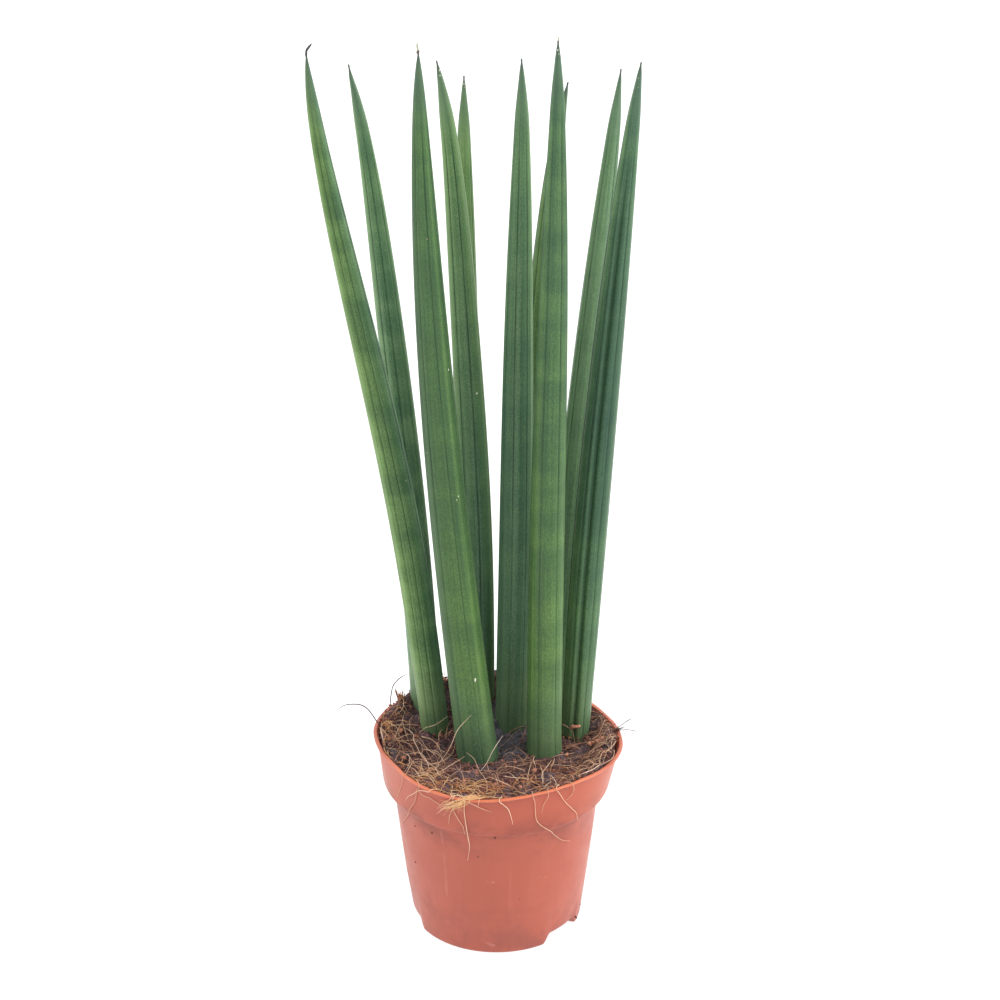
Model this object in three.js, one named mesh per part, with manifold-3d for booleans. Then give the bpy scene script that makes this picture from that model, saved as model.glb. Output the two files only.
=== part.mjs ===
// A cylindrical snake plant (Dracaena angolensis, sold as Sansevieria cylindrica): ten round,
// tapering leaves planted in coir potting mix, in a thin moulded nursery pot.
// Units are millimetres and +Z is up. The origin is the centre of the pot's underside.
import * as THREE from "three";
import { mergeVertices } from "three/addons/utils/BufferGeometryUtils.js";
import Module from "manifold-3d";

// ---- driving dimensions -------------------------------------------------------------------

const GAP = 0.3; // clearance between touching pieces

// nursery pot
const POT_HEIGHT = 97;
const RIM_RADIUS = 59.5; // outside of the lip
const BASE_RADIUS = 42; // outside of the wall at the foot
const COLLAR_HEIGHT = 21; // the wide band under the lip
const COLLAR_RADIUS = 56.2; // outside of the band at its lower edge
const COLLAR_TOP_RADIUS = 57.9; // outside of the band right under the lip
const SHOULDER_RADIUS = 50.8; // outside of the wall right under the band
const WALL = 1.1;
const FLOOR = 1.4;
const LIP_WIDTH = 1.8;
const LIP_HEIGHT = 0.9;
const POT_SEGMENTS = 72;

// The thin plastic is out of round in waves: how many go round the pot, how far each swings
// out in millimetres, and where it peaks, in degrees from the front (-Y) towards +X.
const RIM_WAVES = [
  { count: 1, swing: 1.2, peak: 167.5 },
  { count: 2, swing: 0.4, peak: 66 },
  { count: 3, swing: 0.75, peak: -17.5 },
  { count: 4, swing: 1.7, peak: -16.5 },
];
const COLLAR_FOOT_WAVES = [
  { count: 1, swing: 0.6, peak: -27 },
  { count: 2, swing: 1.3, peak: 19 },
];
const COLLAR_SWELL_RADIUS = 54.5; // the band's lower edge follows its waves from here outwards

// three notches in the foot, each with a drain hole
const NOTCH_AZIMUTHS = [51, -76, 167]; // degrees from the front (-Y) towards +X
const NOTCH_LIFT = 5.3;
const NOTCH_HALF_ANGLE = 18;
const NOTCH_RISER_ANGLE = 6;
const NOTCH_INNER_RADIUS = 31;
const NOTCH_RISER_WIDTH = 4;
const NOTCH_TOP = 25; // the wall is undisturbed above this height
const DRAIN_RADIUS = 3;
const DRAIN_CIRCLE = 36.5;

// potting mix
const SOIL_LEVEL = 93; // flat part, a little under the rim
const MOUND_HEIGHT = 11; // heaped up at the back left
const BANK_HEIGHT = 2.6; // banked up against the wall, least at the front
const SOIL_BUMP = 0.7;

// leaves
const LEAF_SIDES = 14;
const LEAF_STEPS = 16;
const TAPER_POWER = 2.2;
const HOOK_POWER = 10;
const NEEDLE_LENGTH = 20; // the last stretch of a leaf, drawn out to a fine point

// Each leaf leaves the soil's flat level at foot [x, y] and ends at tip [x, y, z].
// bend bows it sideways at mid-length, sway adds an S curve, hook turns its last fifth aside,
// waist narrows it at the foot, a low point value makes a blunter taper, needle thins the last
// stretch to that share, and end is the height of its buried end.
const LEAVES = [
  { name: "leaf_far_left", foot: [-29.9, 12], tip: [-81.3, -6, 435.5], bend: [4.9, 4],
    sway: 1.1, hook: 4.6, girth: 15.9, waist: 0.13, needle: 0.7, point: 0.53, end: 68 },
  { name: "leaf_left_rear", foot: [-34.4, 27.3], tip: [-66.4, 44, 418], bend: [2.6, -3],
    sway: 0.4, hook: -4.6, girth: 16, waist: 0.07, needle: 0.6, point: 0.54, end: 79 },
  { name: "leaf_front_left", foot: [-9, -10], tip: [-32.5, -30, 442.4], bend: [-4, 3],
    sway: 0.1, hook: 1.2, girth: 18.6, waist: -0.05, needle: 0.9, point: 0.59, end: 62 },
  { name: "leaf_centre_left", foot: [-8.8, 30], tip: [-26.2, 20, 427], bend: [2.5, -2],
    sway: 0.7, hook: -5.5, girth: 16.2, waist: 0.06, needle: 0.4, point: 0.51, end: 68 },
  { name: "leaf_rear_left", foot: [-15.4, 44.3], tip: [-14.6, 51, 412], bend: [0.8, 2],
    sway: 0, hook: 0.6, girth: 15.2, waist: 0.06, needle: 0.45, point: 0.54, end: 79 },
  { name: "leaf_centre", foot: [7.2, 17.5], tip: [11.1, 8, 431], bend: [-0.1, -3],
    sway: 0.4, hook: -1.6, girth: 17, waist: 0.07, needle: 0.4, point: 0.54, end: 64 },
  { name: "leaf_front_right", foot: [23.1, -6.5], tip: [26.2, -22, 446.5], bend: [-0.5, 2],
    sway: -0.4, hook: -0.5, girth: 17.5, waist: 0.06, needle: 0.55, point: 0.58, end: 62 },
  { name: "leaf_rear_centre", foot: [12, 38], tip: [32.3, 40, 412], bend: [-2.4, 3],
    sway: 0, hook: 4.2, girth: 15.6, waist: 0.06, needle: 0.5, point: 0.54, end: 72 },
  { name: "leaf_right_rear", foot: [29.5, 32], tip: [56.4, 48, 416], bend: [-2.2, -3],
    sway: 0, hook: 0, girth: 16.8, waist: 0.06, needle: 0.45, point: 0.59, end: 79 },
  { name: "leaf_far_right", foot: [38.6, 11], tip: [62.8, 2, 431], bend: [-1.7, 3],
    sway: -0.2, hook: 1.2, girth: 18.2, waist: 0.26, needle: 0.6, point: 0.59, end: 79 },
];

// loose chips of coconut husk, half sunk in the soil: place, turn in degrees, and size
const CHIPS = [
  { name: "husk_chip_left", place: [-51, 0], turn: 30, size: [5, 3.6, 2.6] },
  { name: "husk_chip_front", place: [-11, -29], turn: -12, size: [6.4, 3.4, 2.8] },
  { name: "husk_chip_centre", place: [36, -3], turn: 8, size: [6.6, 4, 3] },
  { name: "husk_chip_right", place: [50, 1], turn: -25, size: [6, 3.6, 2.6] },
];

// ---- helpers ------------------------------------------------------------------------------

const wasm = await Module();
wasm.setup();

const radians = THREE.MathUtils.degToRad;
const mix = THREE.MathUtils.lerp;
const smoothstep = (x, low, high) => THREE.MathUtils.smoothstep(x, low, high);

// Welds shared corners and drops the triangles that collapse, as at the poles of a lathe.
function weld(geometry) {
  const bare = new THREE.BufferGeometry();
  bare.setAttribute("position", geometry.getAttribute("position"));
  bare.setIndex(geometry.index);
  const welded = mergeVertices(bare, 1e-3);
  const kept = [];
  const corners = welded.index.array;
  for (let i = 0; i < corners.length; i += 3) {
    const [a, b, c] = corners.slice(i, i + 3);
    if (a !== b && b !== c && c !== a) kept.push(a, b, c);
  }
  welded.setIndex(kept);
  return welded;
}

// Turns a closed outline of [radius, height] points round the Z axis.
function lathe(outline, segments) {
  const points = outline.map(([radius, height]) => new THREE.Vector2(radius, height));
  return new THREE.LatheGeometry(points, segments).rotateX(Math.PI / 2);
}

// Moves every vertex of a geometry by a function of its position.
function reshape(geometry, move) {
  const position = geometry.getAttribute("position");
  const vertex = new THREE.Vector3();
  for (let i = 0; i < position.count; i++) {
    vertex.fromBufferAttribute(position, i);
    move(vertex);
    position.setXYZ(i, vertex.x, vertex.y, vertex.z);
  }
  return geometry;
}

// A closed geometry as a solid with its faces pointing out.
function solid(geometry) {
  const welded = weld(geometry);
  const make = (triVerts) =>
    new wasm.Manifold(
      new wasm.Mesh({
        numProp: 3,
        vertProperties: new Float32Array(welded.getAttribute("position").array),
        triVerts: new Uint32Array(triVerts),
      }),
    );
  const made = make(welded.index.array);
  return made.volume() > 0 ? made : make(Array.from(welded.index.array).reverse());
}

function geometryOf(body) {
  const { vertProperties, triVerts } = body.getMesh();
  const geometry = new THREE.BufferGeometry();
  geometry.setAttribute("position", new THREE.BufferAttribute(vertProperties, 3));
  geometry.setIndex(new THREE.BufferAttribute(triVerts, 1));
  geometry.computeVertexNormals();
  return geometry;
}

// ---- pot ----------------------------------------------------------------------------------

const collarFoot = POT_HEIGHT - COLLAR_HEIGHT;
const lipFoot = POT_HEIGHT - LIP_HEIGHT;

// Angle from the front (-Y) towards +X.
const azimuth = (x, y) => Math.atan2(x, -y);

// In the notches the foot of the wall is lifted off the ground, and so is the rim of the floor.
function notchLift(x, y, z) {
  const turn = THREE.MathUtils.radToDeg(azimuth(x, y));
  const wrap = (angle) => THREE.MathUtils.euclideanModulo(angle + 180, 360) - 180;
  const off = Math.min(...NOTCH_AZIMUTHS.map((middle) => Math.abs(wrap(turn - middle))));
  const along = 1 - smoothstep(off, NOTCH_HALF_ANGLE - NOTCH_RISER_ANGLE, NOTCH_HALF_ANGLE);
  const inner = NOTCH_INNER_RADIUS - NOTCH_RISER_WIDTH;
  const outward = smoothstep(Math.hypot(x, y), inner, NOTCH_INNER_RADIUS);
  return NOTCH_LIFT * along * outward * Math.max(0, 1 - z / NOTCH_TOP);
}

const swell = (waves, turn) =>
  waves.reduce((sum, { count, swing, peak }) => {
    return sum + swing * Math.cos(count * (turn - radians(peak)));
  }, 0);

// The band's lower edge and its rim are out of round each in its own way, and the wall below
// is round.
function bandSwell(x, y, z) {
  const turn = azimuth(x, y);
  const radius = Math.hypot(x, y);
  const up = THREE.MathUtils.clamp((z - collarFoot) / (lipFoot - collarFoot), 0, 1);
  const joined = smoothstep(radius, SHOULDER_RADIUS, COLLAR_SWELL_RADIUS);
  const atFoot = swell(COLLAR_FOOT_WAVES, turn) * joined;
  const atRim = swell(RIM_WAVES, turn) * smoothstep(radius, 0, SHOULDER_RADIUS);
  return (1 - up) * atFoot + up * atRim;
}

function bendPot(vertex) {
  const { x, y, z } = vertex;
  const radius = Math.hypot(x, y);
  if (radius === 0) return;
  const stretch = 1 + bandSwell(x, y, z) / radius;
  vertex.set(x * stretch, y * stretch, z + notchLift(x, y, z));
}
const notchTopRadius = mix(BASE_RADIUS, SHOULDER_RADIUS, NOTCH_TOP / collarFoot);

function makePot() {
  const lipInner = RIM_RADIUS - LIP_WIDTH;
  const outside = [
    [0, 0],
    [NOTCH_INNER_RADIUS - NOTCH_RISER_WIDTH, 0],
    [NOTCH_INNER_RADIUS, 0],
    [BASE_RADIUS - 1.6, 0],
    [BASE_RADIUS - 0.3, 0.6],
    [BASE_RADIUS, 1.8],
    [notchTopRadius, NOTCH_TOP],
    [SHOULDER_RADIUS, collarFoot],
    [COLLAR_RADIUS - 0.6, collarFoot],
    [COLLAR_RADIUS, collarFoot + 0.6],
    [COLLAR_TOP_RADIUS, lipFoot],
    [RIM_RADIUS - 0.2, lipFoot + 0.1],
    [RIM_RADIUS, lipFoot + 0.4],
    [RIM_RADIUS - 0.2, POT_HEIGHT - 0.2],
    [RIM_RADIUS - 0.6, POT_HEIGHT],
  ];
  const inside = [
    [lipInner + 0.3, POT_HEIGHT],
    [lipInner, POT_HEIGHT - 0.4],
    [COLLAR_TOP_RADIUS - WALL, lipFoot - 1],
    [COLLAR_RADIUS - WALL, collarFoot + WALL],
    [SHOULDER_RADIUS - WALL, collarFoot + WALL],
    [notchTopRadius - WALL, NOTCH_TOP],
    [BASE_RADIUS - WALL, 2.4],
    [BASE_RADIUS - WALL - 1, FLOOR],
    [NOTCH_INNER_RADIUS, FLOOR],
    [NOTCH_INNER_RADIUS - NOTCH_RISER_WIDTH, FLOOR],
    [0, FLOOR],
  ];
  const shell = lathe([...outside, ...inside], POT_SEGMENTS);
  let pot = solid(reshape(shell, bendPot));
  for (const turn of NOTCH_AZIMUTHS.map(radians)) {
    const drill = new THREE.CylinderGeometry(DRAIN_RADIUS, DRAIN_RADIUS, 6, 12);
    drill.rotateX(Math.PI / 2);
    drill.translate(
      DRAIN_CIRCLE * Math.sin(turn),
      -DRAIN_CIRCLE * Math.cos(turn),
      NOTCH_LIFT + FLOOR / 2,
    );
    pot = pot.subtract(solid(drill));
  }
  return pot;
}

// ---- leaves -------------------------------------------------------------------------------

// Centre of a leaf at a share of its length: 0 at the flat soil level, 1 at the tip.
function leafCentre(leaf, share) {
  const wave = Math.sin(Math.PI * share);
  const aside =
    leaf.bend[0] * wave +
    leaf.sway * Math.sin(2 * Math.PI * share) +
    leaf.hook * (Math.pow(share, HOOK_POWER) - share);
  return new THREE.Vector3(
    mix(leaf.foot[0], leaf.tip[0], share) + aside,
    mix(leaf.foot[1], leaf.tip[1], share) + leaf.bend[1] * wave,
    mix(SOIL_LEVEL, leaf.tip[2], share),
  );
}

// Half thickness of a leaf: full for most of its length, drawn in to a stiff point.
function leafRadius(leaf, share) {
  const above = THREE.MathUtils.clamp(share, 0, 1);
  const taper = Math.pow(1 - Math.pow(above, TAPER_POWER), leaf.point);
  const waist = 1 - leaf.waist * Math.pow(1 - above, 4);
  const fromTip = ((1 - above) * (leaf.tip[2] - SOIL_LEVEL)) / NEEDLE_LENGTH;
  const needle = mix(leaf.needle, 1, Math.min(1, Math.pow(fromTip, 0.7)));
  return (leaf.girth / 2) * taper * waist * needle;
}

// Sections are level and crowd together towards the tip. grow makes a larger copy, to cut
// the pocket that the leaf stands in.
function makeLeaf(leaf, grow = 0) {
  const endShare = (leaf.end - SOIL_LEVEL) / (leaf.tip[2] - SOIL_LEVEL);
  const endRadius = leafRadius(leaf, endShare) * 0.85;
  const outline = [
    [0, endShare],
    [endRadius, endShare],
  ];
  for (let step = 0; step < LEAF_STEPS; step++) {
    const even = (step + 0.35) / LEAF_STEPS;
    const share = mix(endShare, 1, 1 - Math.pow(1 - even, 1.5));
    outline.push([leafRadius(leaf, share), share]);
  }
  outline.push([0, 1]);
  return solid(
    reshape(lathe(outline, LEAF_SIDES), (vertex) => {
      const radius = Math.hypot(vertex.x, vertex.y);
      const centre = leafCentre(leaf, vertex.z);
      const larger = radius > 0 ? 1 + grow / radius : 1;
      const lower = vertex.z === endShare ? grow : 0;
      vertex.set(
        centre.x + vertex.x * larger,
        centre.y + vertex.y * larger,
        centre.z - lower,
      );
    }),
  );
}

// ---- potting mix --------------------------------------------------------------------------

// Height of the soil's surface: level in front, heaped up between the leaves at the back left,
// and banked up against the wall.
function soilHeight(x, y) {
  const back = smoothstep(y, -8, 40);
  const left = 1 - smoothstep(x, 2, 34);
  const edge = 1 - 0.65 * smoothstep(Math.hypot(x, y), 49, 57);
  const bank = smoothstep(Math.hypot(x, y), 38, 54) * mix(0.4, 1, smoothstep(y, -45, -5));
  const bumps = Math.sin(0.55 * x + 1.3) * Math.sin(0.62 * y) + Math.sin(0.31 * x - 0.4 * y);
  const heaped = MOUND_HEIGHT * back * left * edge + BANK_HEIGHT * bank;
  return SOIL_LEVEL + heaped + (SOIL_BUMP / 2) * bumps;
}

function makeSoil(leaves, chips) {
  const room = WALL + GAP;
  const topRadius = COLLAR_TOP_RADIUS - room - 0.6;
  const top = [52, 44, 36, 28, 19, 9, 0];
  const outline = [
    [0, FLOOR + GAP],
    [NOTCH_INNER_RADIUS - NOTCH_RISER_WIDTH, FLOOR + GAP],
    [NOTCH_INNER_RADIUS, FLOOR + GAP],
    [BASE_RADIUS - room - 1.2, FLOOR + GAP],
    [BASE_RADIUS - room, 2.9],
    [notchTopRadius - room, NOTCH_TOP],
    [SHOULDER_RADIUS - room, collarFoot],
    [SHOULDER_RADIUS - room, collarFoot + room],
    [COLLAR_RADIUS - room - 0.2, collarFoot + room],
    [topRadius, SOIL_LEVEL - 2],
    [topRadius, SOIL_LEVEL],
    ...top.map((radius) => [radius, SOIL_LEVEL]),
  ];
  // The same winding as the inside of the pot, so that the facets of the two lie parallel.
  const body = reshape(lathe(outline.reverse(), POT_SEGMENTS), (vertex) => {
    if (vertex.z === SOIL_LEVEL) vertex.z = soilHeight(vertex.x, vertex.y);
    bendPot(vertex);
  });
  let soil = solid(body);
  for (const leaf of leaves) soil = soil.subtract(makeLeaf(leaf, GAP));
  for (const chip of chips) soil = soil.subtract(makeChip(chip, GAP));
  return soil;
}

// A torn, five-cornered flake, lying in the surface.
function makeChip(chip, grow = 0) {
  const [length, width, height] = chip.size.map((side) => side + 2 * grow);
  const corners = [
    [-0.5, -0.2],
    [-0.1, -0.5],
    [0.5, -0.28],
    [0.36, 0.4],
    [-0.3, 0.5],
  ];
  const outline = corners.map(([x, y]) => new THREE.Vector2(x * length, y * width));
  const flake = new THREE.ExtrudeGeometry(new THREE.Shape(outline), {
    depth: height,
    bevelEnabled: false,
  });
  flake.translate(0, 0, -height / 2);
  flake.rotateX(radians(6));
  flake.rotateZ(radians(chip.turn));
  const [x, y] = chip.place;
  flake.translate(x, y, soilHeight(x, y) + 0.4);
  return solid(flake);
}

// ---- the plant in its pot -----------------------------------------------------------------

const terracotta = new THREE.MeshStandardMaterial({ color: 0xc96f58, roughness: 0.5 });
const peat = new THREE.MeshStandardMaterial({ color: 0x5a4036, roughness: 1 });
const leafGreen = new THREE.MeshStandardMaterial({ color: 0x557a4b, roughness: 0.5 });
const husk = new THREE.MeshStandardMaterial({ color: 0x9c5f3c, roughness: 0.9 });

const plant = new THREE.Group();

function add(name, body, material) {
  const mesh = new THREE.Mesh(geometryOf(body), material);
  mesh.name = name;
  plant.add(mesh);
}

add("pot", makePot(), terracotta);
add("potting_mix", makeSoil(LEAVES, CHIPS), peat);
for (const leaf of LEAVES) add(leaf.name, makeLeaf(leaf), leafGreen);
for (const chip of CHIPS) add(chip.name, makeChip(chip), husk);

export default plant;
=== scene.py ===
"""A cylindrical snake plant in a terracotta-coloured nursery pot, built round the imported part.

Sizes are in millimetres until a mesh is made, which turns them into metres. Azimuths are degrees
round the upright axis, from the front (-Y) towards +X. Colours are sRGB, 0 to 255.
"""

import math
from collections import namedtuple

import bmesh
import bpy
import numpy as np
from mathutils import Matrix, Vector


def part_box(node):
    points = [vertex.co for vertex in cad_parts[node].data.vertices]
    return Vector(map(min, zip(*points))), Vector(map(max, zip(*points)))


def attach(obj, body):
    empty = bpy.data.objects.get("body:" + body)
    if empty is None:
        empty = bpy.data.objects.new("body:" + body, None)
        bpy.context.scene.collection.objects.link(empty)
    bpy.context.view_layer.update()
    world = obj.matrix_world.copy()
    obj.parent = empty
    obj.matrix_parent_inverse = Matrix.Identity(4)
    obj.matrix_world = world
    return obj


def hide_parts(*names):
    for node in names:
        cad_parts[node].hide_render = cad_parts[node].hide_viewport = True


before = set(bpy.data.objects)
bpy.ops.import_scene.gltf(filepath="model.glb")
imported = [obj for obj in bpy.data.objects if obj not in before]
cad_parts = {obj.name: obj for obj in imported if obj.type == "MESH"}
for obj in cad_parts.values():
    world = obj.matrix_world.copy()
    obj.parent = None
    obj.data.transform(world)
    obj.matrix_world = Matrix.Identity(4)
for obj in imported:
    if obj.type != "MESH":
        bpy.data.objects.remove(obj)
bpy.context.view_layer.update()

MM = 0.001
UV_NAME = "OFBake"

# Seeds of the random draws. Each leaf adds its number to its seed, and each bed of fibres has its
# own, in FIBRE_BEDS.
CRUMB_SEED = 11
SPECK_SEED = 14
FLECK_SEED = 15
RIM_SEED = 31
TUFT_SEED = 32
HAIR_SEED = 33
WISP_SEED = 34
LEAF_SEED = 200

# ---- the pot's driving dimensions, as in the CAD ------------------------------------------------

POT_HEIGHT = 97
RIM_RADIUS = 59.5
BASE_RADIUS = 42
COLLAR_HEIGHT = 21
COLLAR_RADIUS = 56.2
COLLAR_TOP_RADIUS = 57.9
SHOULDER_RADIUS = 50.8
WALL = 1.1
FLOOR = 1.4
LIP_WIDTH = 1.8
LIP_HEIGHT = 0.9
RIM_WAVES = ((1, 1.2, 167.5), (2, 0.4, 66), (3, 0.75, -17.5), (4, 1.7, -16.5))
COLLAR_FOOT_WAVES = ((1, 0.6, -27), (2, 1.3, 19))
COLLAR_SWELL_RADIUS = 54.5
NOTCH_AZIMUTHS = (51, -76, 167)
NOTCH_LIFT = 5.3
NOTCH_HALF_ANGLE = 18
NOTCH_RISER_ANGLE = 6
NOTCH_INNER_RADIUS = 31
NOTCH_RISER_WIDTH = 4
NOTCH_TOP = 25
DRAIN_RADIUS = 3
DRAIN_CIRCLE = 36.5
SOIL_LEVEL = 93
MOUND_HEIGHT = 11
BANK_HEIGHT = 2.6

COLLAR_FOOT = POT_HEIGHT - COLLAR_HEIGHT
LIP_FOOT = POT_HEIGHT - LIP_HEIGHT
RISER_FOOT_RADIUS = NOTCH_INNER_RADIUS - NOTCH_RISER_WIDTH
NOTCH_TOP_RADIUS = float(np.interp(NOTCH_TOP, [0, COLLAR_FOOT], [BASE_RADIUS, SHOULDER_RADIUS]))

# ---- node and mesh helpers ----------------------------------------------------------------------


def rgb(red, green, blue):
    """An sRGB colour as the linear one that Blender's sockets hold."""
    linear = [
        c / 255 / 12.92 if c / 255 <= 0.04045 else ((c / 255 + 0.055) / 1.055) ** 2.4
        for c in (red, green, blue)
    ]
    return (*linear, 1)


class Graph:
    """Short calls that add nodes to a material or a world. A value is a number, colour or socket."""

    def __init__(self, owner):
        owner.use_nodes = True
        self.tree = owner.node_tree

    def node(self, kind, **settings):
        made = self.tree.nodes.new(kind)
        for key, value in settings.items():
            setattr(made, key, value)
        return made

    def feed(self, socket, value):
        if isinstance(value, bpy.types.NodeSocket):
            self.tree.links.new(value, socket)
        else:
            socket.default_value = value

    def object_place(self):
        return self.node("ShaderNodeTexCoord").outputs["Object"]

    def attribute(self, name):
        return self.node("ShaderNodeAttribute", attribute_name=name)

    def number(self, name):
        return self.attribute(name).outputs["Fac"]

    def axes(self, place):
        split = self.node("ShaderNodeSeparateXYZ")
        self.feed(split.inputs[0], place)
        return split.outputs

    def joined(self, x, y, z):
        made = self.node("ShaderNodeCombineXYZ")
        for socket, value in zip(made.inputs, (x, y, z)):
            self.feed(socket, value)
        return made.outputs[0]

    def scaled(self, place, scale):
        mapping = self.node("ShaderNodeMapping")
        self.feed(mapping.inputs["Vector"], place)
        mapping.inputs["Scale"].default_value = scale
        return mapping.outputs["Vector"]

    def noise(self, place, scale=1.0, detail=2.0, roughness=0.5):
        texture = self.node("ShaderNodeTexNoise")
        self.feed(texture.inputs["Vector"], place)
        texture.inputs["Scale"].default_value = scale
        texture.inputs["Detail"].default_value = detail
        texture.inputs["Roughness"].default_value = roughness
        return texture.outputs["Fac"]

    def math(self, operation, a, b=0.0, clamp=False):
        made = self.node("ShaderNodeMath", operation=operation, use_clamp=clamp)
        self.feed(made.inputs[0], a)
        self.feed(made.inputs[1], b)
        return made.outputs[0]

    def times(self, first, *others):
        product = first
        for other in others:
            product = self.math("MULTIPLY", product, other)
        return product

    def plus(self, a, b):
        return self.math("ADD", a, b)

    def minus(self, a, b):
        return self.math("SUBTRACT", a, b)

    def between(self, value, low, high, start=0.0, end=1.0):
        """value's smooth rise from start, at low, to end, at high."""
        made = self.node("ShaderNodeMapRange", interpolation_type="SMOOTHSTEP")
        for socket, number in zip(made.inputs[1:5], (low, high, start, end)):
            socket.default_value = number
        self.feed(made.inputs[0], value)
        return made.outputs[0]

    def mix(self, factor, a, b):
        made = self.node("ShaderNodeMix", data_type="RGBA")
        self.feed(made.inputs[0], factor)
        for socket, colour in ((made.inputs[6], a), (made.inputs[7], b)):
            self.feed(socket, rgb(*colour) if isinstance(colour, tuple) else colour)
        return made.outputs[2]

    def ramp(self, value, stops):
        """The colour at a value, between stops given as {position: colour}."""
        made = self.node("ShaderNodeValToRGB")
        elements = made.color_ramp.elements
        while len(elements) < len(stops):
            elements.new(0.5)
        for element, (position, colour) in zip(elements, stops.items()):
            element.position = position
            element.color = rgb(*colour)
        self.feed(made.inputs[0], value)
        return made.outputs[0]


class Material(Graph):
    """A new material with a roughness of its own."""

    def __init__(self, name, roughness):
        self.material = bpy.data.materials.new(name)
        super().__init__(self.material)
        self.shader = self.tree.nodes["Principled BSDF"]
        self.shader.inputs["Roughness"].default_value = roughness

    def tint(self, grain, share):
        """The tint of each point, made uneven by a share of a grain."""
        return self.plus(self.number("tint"), self.times(grain, share))

    def colour(self, value):
        self.feed(self.shader.inputs["Base Color"], value)

    def roughness(self, value):
        self.feed(self.shader.inputs["Roughness"], value)

    def bump(self, height, strength, distance):
        made = self.node("ShaderNodeBump")
        made.inputs["Strength"].default_value = strength
        made.inputs["Distance"].default_value = distance * MM
        self.feed(made.inputs["Height"], height)
        self.tree.links.new(made.outputs["Normal"], self.shader.inputs["Normal"])


def smoothstep(x, low, high):
    t = np.clip((x - low) / (high - low), 0, 1)
    return t * t * (3 - 2 * t)


def waves(points, seed, size):
    """Smooth noise, about -1 to 1, at each point, with features of that size."""
    draw = np.random.default_rng(seed)
    order = draw.permutation(256)
    table = draw.uniform(-1, 1, 256)
    at = np.asarray(points, float) / size
    cell = np.floor(at).astype(int)
    part = at - cell
    part = part * part * (3 - 2 * part)
    total = np.zeros(len(at))
    for corner in np.ndindex(2, 2, 2):
        x, y, z = ((cell + corner) & 255).T
        key = order[(order[(order[x] + y) & 255] + z) & 255]
        total += np.where(corner, part, 1 - part).prod(axis=-1) * table[key]
    return total


def bell(off, width):
    """1 where off is nought, falling away smoothly on both sides."""
    return np.exp(-((off / width) ** 2))


def wrapped(degrees):
    return (degrees + 180) % 360 - 180


def turned_to(azimuth, radius):
    """x and y at an azimuth in radians."""
    return radius * np.sin(azimuth), -radius * np.cos(azimuth)


def circles(radii, sides):
    """x, y and radius of the points of level circles round the upright axis."""
    angles = np.linspace(-math.pi, math.pi, sides, endpoint=False)
    radius, angle = np.meshgrid(radii, angles, indexing="ij")
    return *turned_to(angle.ravel(), radius.ravel()), radius.ravel()


def placed(name, data):
    """A new object in the scene."""
    made = bpy.data.objects.new(name, data)
    bpy.context.scene.collection.objects.link(made)
    return made


def make_piece(name, points, faces, material, uvs=None, numbers=None, vectors=None):
    """A smooth mesh. uvs has a pair for each face corner; numbers and vectors have one per point."""
    mesh = bpy.data.meshes.new(name)
    mesh.from_pydata((np.asarray(points) * MM).tolist(), [], [tuple(f) for f in faces])
    if uvs is not None:
        layer = mesh.uv_layers.new(name=UV_NAME)
        layer.data.foreach_set("uv", np.asarray(uvs, np.float32).ravel())
    for kind, field, table in (("FLOAT", "value", numbers), ("FLOAT_VECTOR", "vector", vectors)):
        for key, values in (table or {}).items():
            attribute = mesh.attributes.new(key, kind, "POINT")
            attribute.data.foreach_set(field, np.asarray(values, np.float32).ravel())
    mesh.materials.append(material)
    mesh.shade_smooth()
    return placed(name, mesh)


def declare(piece, node=None):
    """The piece rides on the plant's one body, and may stand for a CAD node."""
    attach(piece, "root")
    if node:
        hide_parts(node)


def sheet_faces(rows, columns):
    """Quads of a grid that closes on itself across its columns, and their UVs."""
    row, column = np.mgrid[0 : rows - 1, 0:columns]
    following = (column + 1) % columns
    faces = np.stack(
        [
            row * columns + column,
            row * columns + following,
            (row + 1) * columns + following,
            (row + 1) * columns + column,
        ],
        axis=-1,
    ).reshape(-1, 4)
    u = np.stack([column, column + 1, column + 1, column], axis=-1) / columns
    v = np.stack([row, row, row + 1, row + 1], axis=-1) / (rows - 1)
    return faces, np.stack([u, v], axis=-1).reshape(-1, 2)


def end_caps(rows, columns):
    """The faces that close the first and the last row of such a grid."""
    last = (rows - 1) * columns
    return [list(range(columns - 1, -1, -1)), list(range(last, last + columns))]


def eased(x, knots, values):
    """A smooth curve through the knots: cubic, with slopes from the neighbours."""
    slopes = np.gradient(values, knots)
    i = np.clip(np.searchsorted(knots, x) - 1, 0, len(knots) - 2)
    span = knots[i + 1] - knots[i]
    t = np.clip((x - knots[i]) / span, 0, 1)
    return (
        (2 * t**3 - 3 * t**2 + 1) * values[i]
        + (t**3 - 2 * t**2 + t) * span * slopes[i]
        + (3 * t**2 - 2 * t**3) * values[i + 1]
        + (t**3 - t**2) * span * slopes[i + 1]
    )


def curve_through(points, count):
    """A smooth path through the points."""
    points = np.asarray(points, float)
    steps = np.linalg.norm(np.diff(points, axis=0), axis=1)
    reach = np.concatenate([[0], np.cumsum(steps)])
    at = np.linspace(0, reach[-1], count)
    return np.stack([eased(at, reach, points[:, k]) for k in range(3)], axis=-1)


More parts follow.
